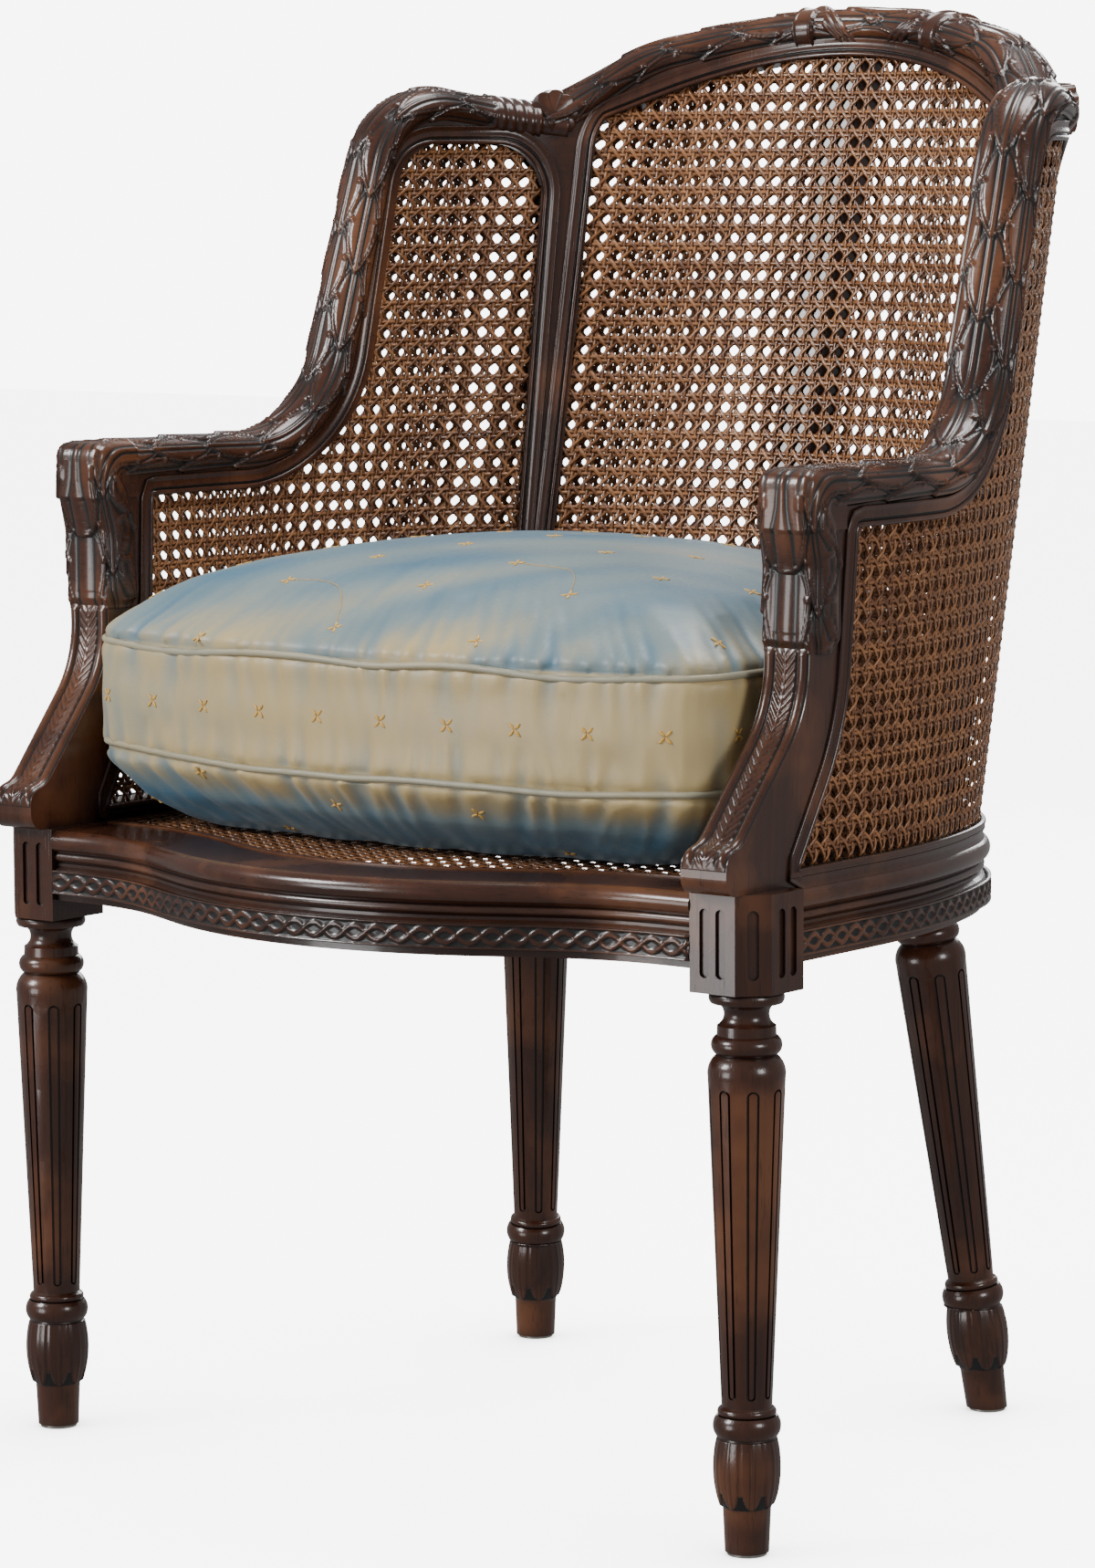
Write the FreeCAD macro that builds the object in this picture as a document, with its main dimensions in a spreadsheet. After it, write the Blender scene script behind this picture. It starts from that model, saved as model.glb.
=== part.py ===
import FreeCAD, Part
import math
import os
import Sketcher
from FreeCAD import Placement, Rotation, Vector

# Bergere chair with doubled cane walls, in millimetres.
# The floor is z = 0, the front of the chair looks along -Y and x = 0 is its plane of symmetry.
# y = 0 runs through the axes of the two front legs.

os.makedirs("parts", exist_ok=True)
doc = FreeCAD.newDocument("BergereChair")
sheet = doc.addObject("Spreadsheet::Sheet", "Sizes")

# Driving sizes: alias, value, meaning
SIZES = [
    ("rail_top", 414.0, "height of the seat rails' flat top and of the die blocks"),
    ("rail_depth", 48.0, "height of the seat rail section"),
    ("rail_inner", 38.0, "rail stock inside the wall's middle surface"),
    ("rail_face", 17.0, "plain fillet of the rail outside the middle surface"),
    ("rail_torus", 6.5, "how far the bull-nose stands out from the fillet"),
    ("wall_sill", 10.0, "height of the sill on the rail that the walls stand on"),
    ("cane_rabbet", 11.0, "width of the rabbet that holds the seat cane"),
    ("seat_cane", 2.4, "thickness of the seat cane"),
    ("binder_width", 5.0, "width of the binder over the edge of the seat cane"),
    ("binder_thick", 1.2, "thickness of that binder"),
    ("half_width", 284.0, "middle surface of the side wall from the centre, at seat level"),
    ("side_flare", 0.0277, "outward lean of the side walls, mm per mm of height"),
    ("side_straight", 120.0, "where the straight side wall starts to curve"),
    ("back_depth", 293.0, "middle surface of the back from there, at seat level"),
    ("back_lean", 0.25, "backward lean of the back, mm per mm of height"),
    ("corner_radius", 185.0, "middle radius of the tub corner at seat level"),
    ("corner_spread", 0.0275, "growth of that radius per mm of height"),
    ("side_turn", 20.0, "degrees turned by the first, long arc of the side"),
    ("corner_turn", 62.0, "degrees turned where the back arc starts"),
    ("wall_half", 17.0, "half the thickness of the wall frame"),
    ("cane_outer", 15.0, "outer face of a cane layer from the middle surface"),
    ("cane_thick", 2.0, "thickness of a cane layer"),
    ("cane_lap", 4.0, "how far a cane layer is let into its frame"),
    ("groove_play", 0.25, "clearance round a cane layer in its groove"),
    ("die_side", 50.0, "side of the square die over a front leg"),
    ("die_height", 62.0, "height of the die"),
    ("die_chamfer", 16.0, "chamfer of its outer front corner"),
    ("leg_spread", 288.0, "axis of a front leg from the centre"),
    ("foot_height", 28.0, "plain foot"),
    ("foot_tip", 13.75, "radius of the foot at the glide"),
    ("foot_neck", 15.0, "radius of the foot under the lotus"),
    ("lotus_height", 45.0, "lotus bell over the foot"),
    ("lotus_radius", 19.5, "its largest radius"),
    ("lotus_curve", 75.0, "radius of its swelling outline"),
    ("ring_height", 13.0, "ankle ring"),
    ("ring_radius", 19.9, "its radius"),
    ("ring_bead", 5.0, "bead on the ankle ring"),
    ("shank_low", 15.75, "radius of the tapered shank above the ring"),
    ("shank_high", 24.0, "radius of the shank at its shoulder"),
    ("shoulder_height", 14.0, "rounded shoulder of the shank"),
    ("collar_height", 12.0, "collar torus over the shoulder"),
    ("collar_radius", 22.0, "its radius"),
    ("fillet_height", 6.0, "fillet ring over the collar"),
    ("fillet_radius", 18.5, "its radius"),
    ("neck_height", 14.0, "hollow neck"),
    ("neck_radius", 14.0, "its smallest radius"),
    ("disc_height", 7.0, "disc under the die"),
    ("disc_radius", 24.0, "its radius"),
    ("flute_wide", 8.0, "width of a flute at the shoulder"),
    ("flute_narrow", 5.6, "width of a flute at the ankle"),
    ("flute_channel", 1.5, "width of the channel between flute edge and rod"),
    ("flute_depth", 2.0, "depth of the channel"),
    ("flute_margin", 5.0, "plain shank beyond each end of a flute"),
    ("flute_count", 8.0, "flutes round a leg"),
    ("die_flute", 44.0, "length of a flute on the die"),
    ("die_flute_width", 7.0, "width of a flute on the die"),
    ("die_flute_pitch", 12.0, "spacing of the flutes on the die"),
    ("rear_foot_x", 196.4, "foot of a rear leg from the centre"),
    ("rear_foot_y", 415.2, "foot of a rear leg behind the front legs"),
    ("rear_top_x", 165.4, "its axis at the underside of the rail, from the centre"),
    ("rear_top_y", 378.0, "its axis at the underside of the rail, behind the front legs"),
    ("glide_thick", 2.0, "glide under each foot"),
    ("glide_inset", 1.5, "how far the glide is smaller than the foot"),
    ("bow_radius", 258.0, "middle radius of the bowed centre of the front rail"),
    ("bow_reverse", 198.0, "middle radius of the reverse curves at its ends"),
    ("bow_turn", 27.0, "degrees turned by each of them"),
    ("bow_straight", 23.0, "straight run of the front rail beside each die"),
    ("front_axis", -3.5, "middle line of the front rail at the dies"),
    ("arm_top", 667.0, "top of the arm roll"),
    ("arm_joint", 631.0, "joint of arm rail and post, and top of the side opening over the arm"),
    ("roll_height", 25.0, "height of the carved roll"),
    ("roll_width", 40.0, "width of the carved roll across the wall"),
    ("knob_front", 35.0, "front of the arm knob"),
    ("knob_length", 40.0, "length of the knob block"),
    ("knob_round", 9.0, "rounding of the knob"),
    ("post_front", 43.0, "front of an arm post at the arm"),
    ("post_back", 92.0, "back of an arm post at the arm"),
    ("post_heel", 36.0, "back of an arm post on the sill"),
    ("toe_front", -40.0, "front of the scroll knob at the foot of a post"),
    ("toe_height", 26.0, "height of the scroll knob"),
    ("toe_round", 11.0, "rounding of the scroll knob"),
    ("sweep_high", 107.0, "corner of the post's forward sweep above the die"),
    ("sweep_low", 29.0, "its lower corner above the die"),
    ("sweep_front", -24.0, "that corner, behind the front legs"),
    ("sweep_curve", 75.0, "radius of the sweep's upper bend"),
    ("sweep_bend", 22.0, "radius of the sweep's lower bend"),
    ("back_bend", 160.0, "radius of the bend in the back of a post"),
    ("back_bend_y", 84.0, "corner of that bend, behind the front legs"),
    ("back_bend_high", 92.0, "that corner above the die"),
    ("wing_corner", 281.0, "where arm line and wing line of the opening meet, behind the front legs"),
    ("wing_slope", 0.235, "backward lean of the opening's wing line"),
    ("arm_curve", 120.0, "radius of the opening from arm to wing"),
    ("side_top", 868.0, "top of the side opening"),
    ("opening_curve", 36.0, "radius of the upper corners of the openings"),
    ("roll_corner", 263.2, "where arm line and wing line of the roll's centre meet"),
    ("roll_slope", 0.299, "backward lean of the wing roll"),
    ("roll_curve", 92.5, "radius of the roll's centre from arm to wing"),
    ("wing_top", 900.4, "height of the corner of the wing roll's centre line"),
    ("wing_curve", 53.5, "radius of that corner"),
    ("wing_fall", 0.17, "fall of the wing roll towards the shell"),
    ("crest_top", 960.0, "top of the crest roll at the centre"),
    ("crest_curve", 527.5, "radius of the crest roll's centre line"),
    ("crest_fall", 0.2345, "slope of the crest at its shoulders"),
    ("crest_shoulder", 153.0, "shoulder of the crest from the centre"),
    ("shoulder_curve", 85.0, "radius of that shoulder"),
    ("shoulder_fall", 0.78, "slope of the crest below the shoulder"),
    ("back_top", 928.5, "top of the back opening at the centre"),
    ("back_curve", 378.0, "radius of the back opening's top"),
    ("back_fall", 23.0, "degrees of slope at the ends of that arc"),
    ("stile_low", 101.5, "middle of a stile on the sill, measured square to the way it faces"),
    ("stile_high", 150.0, "middle of a stile at the shell, measured the same way"),
    ("stile_low_width", 19.0, "width of a stile on the sill"),
    ("stile_high_width", 38.0, "width of a stile at the shell"),
    ("shell_place", 135.0, "middle of the shell, measured the same way"),
    ("shell_top", 904.0, "height of the shell's top"),
    ("stile_bearing", 50.0, "degrees between +X and the direction that a stile faces"),
    ("spandrel", 838.0, "height where the stiles meet the arm rails and the crest"),
    ("corner_height", 889.0, "height of the back opening's corner points"),
    ("corner_rise", 0.33, "slope of the back opening beside its corners"),
    ("shell_radius", 15.0, "radius of the turned-over shell on each joint of the crest"),
    ("shell_width", 42.0, "width of the shell across the wall"),
    ("brace_width", 30.0, "width of the upright between the two back layers of cane"),
    ("brace_play", 0.5, "room between that upright and each layer"),
    ("dowel_radius", 4.5, "dowels of the rails"),
    ("dowel_play", 0.1, "room round a dowel in its hole"),
    ("dowel_length", 32.0, "length of a rail dowel"),
    ("dowel_low", 377.0, "height of the lower rail dowels"),
    ("dowel_gap", 13.0, "spacing of the rail dowels"),
    ("block_reach", 62.0, "leg of a corner block along each rail"),
    ("block_height", 34.0, "height of a corner block"),
    ("block_drop", 6.0, "how far a corner block lies below the rails' rabbet"),
    ("screw_radius", 2.4, "shank of a corner block screw"),
    ("screw_head", 4.8, "head of a corner block screw"),
    ("screw_length", 34.0, "length of a corner block screw"),
    ("cushion_half", 260.0, "half width of the cushion at its welts"),
    ("cushion_front", 8.0, "front corner line of the cushion"),
    ("cushion_bow", 910.0, "radius of the bowed front of the cushion"),
    ("cushion_corner", 34.0, "radius of the cushion's front corners"),
    ("cushion_middle", 190.0, "centre of the cushion behind the front legs"),
    ("cushion_low", 467.0, "height of the lower welt"),
    ("cushion_high", 541.0, "height of the upper welt"),
    ("cushion_crown", 606.0, "top of the cushion"),
    ("cushion_rest", 0.3, "room under the cushion"),
    ("cushion_bulge", 4.0, "swell of the boxing between the welts"),
    ("cover_thick", 1.6, "silk with its lining and interlining"),
    ("cover_play", 0.4, "room between cover and filling"),
    ("welt_radius", 3.5, "radius of a welt"),
    ("welt_play", 0.8, "room between a welt and its seam"),
]

for row, (alias, value, meaning) in enumerate(SIZES, start=1):
    sheet.set("A%d" % row, alias)
    sheet.set("B%d" % row, repr(value))
    sheet.set("C%d" % row, meaning)
    sheet.setAlias("B%d" % row, alias)
doc.recompute()


def size(alias):
    """Value of a driving size."""
    return float(sheet.get(alias))


def cell(alias):
    """The same size as text for an expression."""
    return "Sizes." + alias


def total(*aliases):
    """Sum of several sizes as text for an expression."""
    return " + ".join(cell(alias) for alias in aliases)


def origin_plane(body, role):
    """One of the three planes of a body's own origin."""
    for feature in body.Origin.OriginFeatures:
        if feature.Role == role:
            return feature
    raise ValueError(role)


def sketch_on(body, role, name, offset="0"):
    """An empty sketch parallel to an origin plane of the body, at an offset given as an expression."""
    sketch = body.newObject("Sketcher::SketchObject", name)
    sketch.AttachmentSupport = [(origin_plane(body, role), "")]
    sketch.MapMode = "FlatFace"
    sketch.setExpression("AttachmentOffset.Base.z", offset)
    return sketch


def pin(sketch, geometry, position, across, up):
    """Fix one point of a sketch by two expressions measured from the sketch's origin."""
    for kind, axis, text in (("DistanceX", -2, across), ("DistanceY", -1, up)):
        value = float(sketch.evalExpression(text))
        if abs(value) < 1e-7:
            sketch.addConstraint(Sketcher.Constraint("PointOnObject", geometry, position, axis))
            continue
        index = sketch.addConstraint(Sketcher.Constraint(kind, -1, 1, geometry, position, value))
        sketch.setExpression("Constraints[%d]" % index, text)


def draw(sketch, corners, closed=True):
    """Draw an outline through corners (across, up) given as expressions.

    A corner may add (radius, side): the edge that leaves it is then an arc of that radius,
    with its centre to the left of the run for side 1 and to the right for side -1.
    """
    places = [[float(sketch.evalExpression(str(text))) for text in corner[:2]] for corner in corners]
    count = len(corners) if closed else len(corners) - 1
    ends = []
    for number in range(count):
        start = Vector(places[number][0], places[number][1], 0)
        following = (number + 1) % len(corners)
        end = Vector(places[following][0], places[following][1], 0)
        if len(corners[number]) == 2:
            edge = sketch.addGeometry(Part.LineSegment(start, end))
            ends.append((edge, 1, 2))
            continue
        radius = float(sketch.evalExpression(str(corners[number][2])))
        side = corners[number][3]
        chord = end - start
        left = Vector(-chord.y, chord.x, 0).normalize()
        reach = math.sqrt(max(radius ** 2 - chord.Length ** 2 / 4, 0))
        centre = (start + end) * 0.5 + left * (side * reach)
        first, last = (start, end) if side > 0 else (end, start)
        angles = [math.atan2(point.y - centre.y, point.x - centre.x) for point in (first, last)]
        circle = Part.Circle(centre, Vector(0, 0, 1), radius)
        edge = sketch.addGeometry(Part.ArcOfCircle(circle, angles[0], angles[1]))
        ends.append((edge, 1, 2) if side > 0 else (edge, 2, 1))
        index = sketch.addConstraint(Sketcher.Constraint("Radius", edge, radius))
        sketch.setExpression("Constraints[%d]" % index, str(corners[number][2]))
    for number in range(count if closed else count - 1):
        here, there = ends[number], ends[(number + 1) % count]
        sketch.addConstraint(Sketcher.Constraint("Coincident", here[0], here[2], there[0], there[1]))
    for number, corner in enumerate(corners):
        if number < count:
            pin(sketch, ends[number][0], ends[number][1], str(corner[0]), str(corner[1]))
        else:
            pin(sketch, ends[-1][0], ends[-1][2], str(corner[0]), str(corner[1]))


def new_body(name):
    return doc.addObject("PartDesign::Body", name)


def bulge(chord, rise):
    """Radius of the arc over a chord that stands out by a rise, as text for an expression."""
    return "((%s) ^ 2 / (8 * (%s)) + (%s) / 2)" % (chord, rise, rise)


def leg_turning(name, top, grip):
    """A turned leg on the Z axis: lotus foot, ankle ring, stop-fluted shank, collar, neck and disc.

    top is the expression for the height where the turning ends, and grip extends the stock past both ends.
    """
    body = new_body(name)
    sole = cell("glide_thick") + " - " + grip
    foot = total("glide_thick", "foot_height")
    lotus = foot + " + " + cell("lotus_height")
    ring = lotus + " + " + cell("ring_height")
    bead = ring + " + " + cell("ring_bead")
    disc = "%s - %s" % (top, cell("disc_height"))
    neck = "%s - %s" % (disc, cell("neck_height"))
    fillet = "%s - %s" % (neck, cell("fillet_height"))
    collar = "%s - %s" % (fillet, cell("collar_height"))
    shoulder = "%s - %s" % (collar, cell("shoulder_height"))
    profile = sketch_on(body, "XZ_Plane", name + "_profile")
    collar_edge = "(%s - 0.3 * %s)" % (cell("collar_radius"), cell("collar_height"))
    collar_bulge = bulge(cell("collar_height"), "0.3 * " + cell("collar_height"))
    neck_edge = "(%s + 0.3 * %s)" % (cell("neck_radius"), cell("neck_height"))
    neck_hollow = bulge(cell("neck_height"), "0.3 * " + cell("neck_height"))
    past = [] if grip == "0" else [(cell("disc_radius") + " - 2", top + " + " + grip)]
    draw(profile, [
        ("0", sole),
        (cell("foot_tip"), sole),
        (cell("foot_neck"), foot, cell("lotus_curve"), 1),
        (cell("lotus_radius") + " * 0.9", lotus),
        (cell("ring_radius") + " - 1", lotus, cell("ring_height") + " * 0.8", 1),
        (cell("ring_radius") + " - 1", ring),
        (cell("shank_low") + " + 1.5", ring, cell("ring_bead") + " * 0.6", 1),
        (cell("shank_low") + " + 1", bead),
        (cell("shank_low"), bead + " + 1"),
        (cell("shank_high"), shoulder, cell("shoulder_height") + " * 1.05", 1),
        (cell("fillet_radius"), collar),
        (collar_edge, collar, collar_bulge, 1),
        (collar_edge, fillet),
        (neck_edge, neck, neck_hollow, -1),
        (neck_edge, disc),
        (cell("disc_radius") + " - 2", disc, cell("disc_height") + " * 0.7", 1),
        (cell("disc_radius") + " - 2", top),
        *past,
        ("0", top + " + " + grip),
    ])
    turning = body.newObject("PartDesign::Revolution", name + "_turning")
    turning.Profile = profile
    turning.ReferenceAxis = (profile, ["V_Axis"])
    turning.Angle = 360.0
    return body


def cut_flutes(body, top):
    """Round-ended channels with a standing rod, following the taper of the shank all round."""
    low = total("glide_thick", "foot_height", "lotus_height", "ring_height", "ring_bead") + " + 1"
    crown = total("disc_height", "neck_height", "fillet_height", "collar_height", "shoulder_height")
    rise = "(%s - (%s) - (%s))" % (top, crown, low)
    taper = "atan((%s - %s) / %s)" % (cell("shank_high"), cell("shank_low"), rise)
    sketch = sketch_on(body, "XZ_Plane", body.Name + "_flute")
    sketch.setExpression("AttachmentOffset.Rotation.Axis.x", "1")
    sketch.setExpression("AttachmentOffset.Rotation.Axis.y", "0")
    sketch.setExpression("AttachmentOffset.Rotation.Axis.z", "0")
    sketch.setExpression("AttachmentOffset.Rotation.Angle", taper)
    sketch.setExpression("AttachmentOffset.Base.y", "%s + %s * sin(%s)" % (low, cell("flute_depth"), taper))
    sketch.setExpression("AttachmentOffset.Base.z",
                         "%s - %s * cos(%s)" % (cell("shank_low"), cell("flute_depth"), taper))
    doc.recompute()
    for inset in ("0", cell("flute_channel")):
        narrow = "(%s / 2 - %s)" % (cell("flute_narrow"), inset)
        wide = "(%s / 2 - %s)" % (cell("flute_wide"), inset)
        bottom = "%s + %s + %s" % (cell("flute_margin"), narrow, inset)
        head = "%s / cos(%s) - %s - %s - %s" % (rise, taper, cell("flute_margin"), wide, inset)
        draw(sketch, [
            ("-" + narrow, bottom, narrow + " * 1.02", 1),
            (narrow, bottom),
            (wide, head, wide + " * 1.02", 1),
            ("-" + wide, head),
        ])
    flute = body.newObject("PartDesign::Pocket", body.Name + "_channel")
    flute.Profile = sketch
    flute.Reversed = True
    flute.Type = "Length"
    flute.setExpression("Length", cell("flute_depth") + " * 4")
    pattern = body.newObject("PartDesign::PolarPattern", body.Name + "_channels")
    pattern.Originals = [flute]
    pattern.Axis = (origin_plane(body, "Z_Axis"), [""])
    pattern.Angle = 360.0
    pattern.setExpression("Occurrences", cell("flute_count"))
    body.Tip = pattern


def cut_die_flutes(body, role, side, count, offset, turn=0):
    """Upright stopped flutes on one face of the die."""
    sketch = sketch_on(body, role, "%s_face_%d" % (body.Name, len(body.Group)), offset)
    if turn:
        sketch.AttachmentOffset = Placement(Vector(), Rotation(Vector(0, 1, 0), turn * side))
        reach = "((%s / 2) * sqrt(2) - %s / sqrt(2))" % (cell("die_side"), cell("die_chamfer"))
        sketch.setExpression("AttachmentOffset.Base.x", "%d * %s / sqrt(2)" % (side, reach))
        sketch.setExpression("AttachmentOffset.Base.z", reach + " / sqrt(2)")
    doc.recompute()
    middle = "(%s - %s / 2)" % (cell("rail_top"), cell("die_height"))
    half = "(%s / 2)" % cell("die_flute_width")
    reach = "(%s / 2 - %s / 2)" % (cell("die_flute"), cell("die_flute_width"))
    shift = "0"
    if role == "XZ_Plane" and not turn:
        shift = "%d * %s / 2" % (-side, cell("die_chamfer"))
    if role == "YZ_Plane":
        shift = cell("die_chamfer") + " / 2"
    for number in range(count):
        centre = "(%s + %s * %.1f)" % (shift, cell("die_flute_pitch"), number - (count - 1) / 2)
        draw(sketch, [
            ("%s - %s" % (centre, half), "%s - %s" % (middle, reach), half + " * 1.02", 1),
            ("%s + %s" % (centre, half), "%s - %s" % (middle, reach)),
            ("%s + %s" % (centre, half), "%s + %s" % (middle, reach), half + " * 1.02", 1),
            ("%s - %s" % (centre, half), "%s + %s" % (middle, reach)),
        ])
    pocket = body.newObject("PartDesign::Pocket", sketch.Name + "_flutes")
    pocket.Profile = sketch
    pocket.Type = "Length"
    pocket.Reversed = role == "YZ_Plane" and side < 0
    pocket.setExpression("Length", cell("flute_depth"))


def front_leg(name, side):
    """A front leg with its square die, turned and squared from one stick."""
    die_bottom = "(%s - %s)" % (cell("rail_top"), cell("die_height"))
    body = leg_turning(name, die_bottom, "0")
    cut_flutes(body, die_bottom)
    half = "%s / 2" % cell("die_side")
    chamfer = cell("die_chamfer")
    outline = sketch_on(body, "XY_Plane", name + "_die", die_bottom)
    corners = [
        ("-(%s)" % half, "-(%s)" % half),
        ("%s - %s" % (half, chamfer), "-(%s)" % half),
        (half, "%s - (%s)" % (chamfer, half)),
        (half, half),
        ("-(%s)" % half, half),
    ]
    draw(outline, [("%d * (%s)" % (side, across), up) for across, up in corners])
    die = body.newObject("PartDesign::Pad", name + "_block")
    die.Profile = outline
    die.setExpression("Length", cell("die_height"))
    body.Tip = die
    cut_die_flutes(body, "XZ_Plane", side, 2, half)
    cut_die_flutes(body, "XZ_Plane", side, 1, "0", 45)
    cut_die_flutes(body, "YZ_Plane", side, 2, "%d * %s" % (side, half))
    body.setExpression("Placement.Base.x", "%d * %s" % (side, cell("leg_spread")))
    return body


def rear_leg(name, side):
    """A rear leg, raked outwards and backwards, sawn level at the glide and under the rail."""
    underside = "(%s - %s)" % (cell("rail_top"), cell("rail_depth"))
    splay = "(%s - %s)" % (cell("rear_foot_x"), cell("rear_top_x"))
    rake = "(%s - %s)" % (cell("rear_foot_y"), cell("rear_top_y"))
    length = "sqrt(%s ^ 2 + %s ^ 2 + %s ^ 2)" % (underside, splay, rake)
    body = leg_turning(name + "_stick", length, "6")
    cut_flutes(body, length)
    foot = Vector(side * size("rear_foot_x"), size("rear_foot_y"), 0)
    head = Vector(side * size("rear_top_x"), size("rear_top_y"), size("rail_top") - size("rail_depth"))
    body.Placement = Placement(foot, Rotation(Vector(0, 0, 1), head - foot))
    level = doc.addObject("Part::Box", name + "_level")
    level.Length = level.Width = 4 * size("die_side")
    level.setExpression("Height", "%s - %s" % (underside, cell("glide_thick")))
    level.Placement.Base = Vector(foot.x - level.Length.Value / 2, foot.y - level.Width.Value / 2,
                                  size("glide_thick"))
    leg = doc.addObject("Part::Common", name)
    leg.Base = body
    leg.Tool = level
    return leg


# The tub's plan at any height is a straight side, a long side arc, a corner arc and a back arc,
# all tangent, mirrored about the centre.
TURN_A = "%s * 1 deg" % cell("side_turn")
TURN_B = "%s * 1 deg" % cell("corner_turn")
ACROSS = "(%s - %s * (cos(%s) - cos(%s)))" % (cell("half_width"), cell("corner_radius"), TURN_A, TURN_B)
ALONG = "(%s - %s * (sin(%s) - sin(%s)))" % (cell("back_depth"), cell("corner_radius"), TURN_B, TURN_A)
SPREAD = "((1 - cos({0})) * (1 - sin({1})) - cos({1}) * sin({0}))".format(TURN_A, TURN_B)
SIDE_RADIUS = "((%s * (1 - sin(%s)) - cos(%s) * %s) / %s)" % (ACROSS, TURN_B, TURN_B, ALONG, SPREAD)
BACK_RADIUS = "(((1 - cos(%s)) * %s - sin(%s) * %s) / %s)" % (TURN_A, ALONG, TURN_A, ACROSS, SPREAD)


def rail_section(sketch, place, sill, side):
    """Moulded section of a seat rail: sill and bead, bull-nose, second torus, waist, carved band, fillet.

    place turns a distance from the wall's middle surface into the sketch's own coordinate.
    """
    top = cell("rail_top")
    bottom = "%s - %s" % (top, cell("rail_depth"))
    face = cell("rail_face")
    rabbet = "-(%s - %s)" % (cell("rail_inner"), cell("cane_rabbet"))
    unit = cell("rail_depth") + " / 48"
    nose = "%s / 6.5" % cell("rail_torus")
    corners = [("-" + cell("rail_inner"), bottom),
               ("-" + cell("rail_inner"), "%s - %s" % (top, cell("seat_cane"))),
               (rabbet, "%s - %s" % (top, cell("seat_cane"))),
               (rabbet, top)]
    if sill:
        corners += [("-" + cell("wall_half"), top),
                    ("-" + cell("wall_half"), "%s + %s" % (top, cell("wall_sill"))),
                    (face, "%s + %s" % (top, cell("wall_sill")), cell("wall_sill") + " * 0.32", -1),
                    (face, "%s + %s * 0.4" % (top, cell("wall_sill")))]
    corners += [(face, "%s - 1 * %s" % (top, unit)),
                ("%s + 2 * %s" % (face, nose), "%s - 2 * %s" % (top, unit), "7.4 * " + unit, -1),
                ("%s + 2 * %s" % (face, nose), "%s - 15 * %s" % (top, unit)),
                ("%s + 0.5 * %s" % (face, nose), "%s - 16 * %s" % (top, unit), "3.6 * " + unit, -1),
                ("%s + 0.5 * %s" % (face, nose), "%s - 22 * %s" % (top, unit)),
                ("%s - 0.5 * %s" % (face, nose), "%s - 23 * %s" % (top, unit)),
                ("%s - 0.5 * %s" % (face, nose), "%s - 25 * %s" % (top, unit)),
                ("%s + 2 * %s" % (face, nose), "%s - 27 * %s" % (top, unit), "12 * " + unit, -1),
                ("%s + 2 * %s" % (face, nose), "%s - 43 * %s" % (top, unit)),
                (face, "%s - 44 * %s" % (top, unit)),
                (face, bottom)]
    moved = []
    for corner in corners:
        here = (place % ("(%s)" % corner[0]), corner[1])
        moved.append(here + ((corner[2], corner[3] * side) if len(corner) > 2 else ()))
    draw(sketch, moved)


def side_rail(name, side):
    """Side rail, from the back of the front die to the plan's corner over the rear leg."""
    body = new_body(name)
    start = "(%s / 2)" % cell("die_side")
    section = sketch_on(body, "XZ_Plane", name + "_section", "-" + start)
    rail_section(section, "%d * (%s + %%s)" % (side, cell("half_width")), True, side)
    route = sketch_on(body, "XY_Plane", name + "_route", cell("rail_top"))
    straight = cell("side_straight")
    bend = "(%s - %s * (1 - cos(%s)))" % (cell("half_width"), SIDE_RADIUS, TURN_A)
    bend_y = "(%s + %s * sin(%s))" % (straight, SIDE_RADIUS, TURN_A)
    end = "(%s - %s * (cos(%s) - cos(%s)))" % (bend, cell("corner_radius"), TURN_A, TURN_B)
    end_y = "(%s + %s * (sin(%s) - sin(%s)))" % (bend_y, cell("corner_radius"), TURN_B, TURN_A)
    draw(route, [
        ("%d * %s" % (side, cell("half_width")), start),
        ("%d * %s" % (side, cell("half_width")), straight, SIDE_RADIUS, side),
        ("%d * %s" % (side, bend), bend_y, cell("corner_radius"), side),
        ("%d * %s" % (side, end), end_y),
    ], closed=False)
    sweep = body.newObject("PartDesign::AdditivePipe", name + "_moulding")
    sweep.Profile = section
    sweep.Spine = route
    return body


def back_rail(name):
    """Back rail, turned about the centre of the plan's back arc."""
    body = new_body(name)
    section = sketch_on(body, "YZ_Plane", name + "_section")
    rail_section(section, "(%s + %s + %%s)" % (cell("side_straight"), cell("back_depth")), True, 1)
    centre = float(section.evalExpression("%s + %s - %s" % (cell("side_straight"), cell("back_depth"),
                                                            BACK_RADIUS)))
    axis = section.addGeometry(Part.LineSegment(Vector(centre, 0, 0), Vector(centre, 100, 0)), True)
    pin(section, axis, 1, "%s + %s - %s" % (cell("side_straight"), cell("back_depth"), BACK_RADIUS), "0")
    pin(section, axis, 2, "%s + %s - %s" % (cell("side_straight"), cell("back_depth"), BACK_RADIUS), "100")
    bend = body.newObject("PartDesign::Revolution", name + "_moulding")
    bend.Profile = section
    bend.ReferenceAxis = (section, ["Axis0"])
    bend.Midplane = True
    bend.setExpression("Angle", "2 * (90 - %s)" % cell("corner_turn"))
    return body


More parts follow.
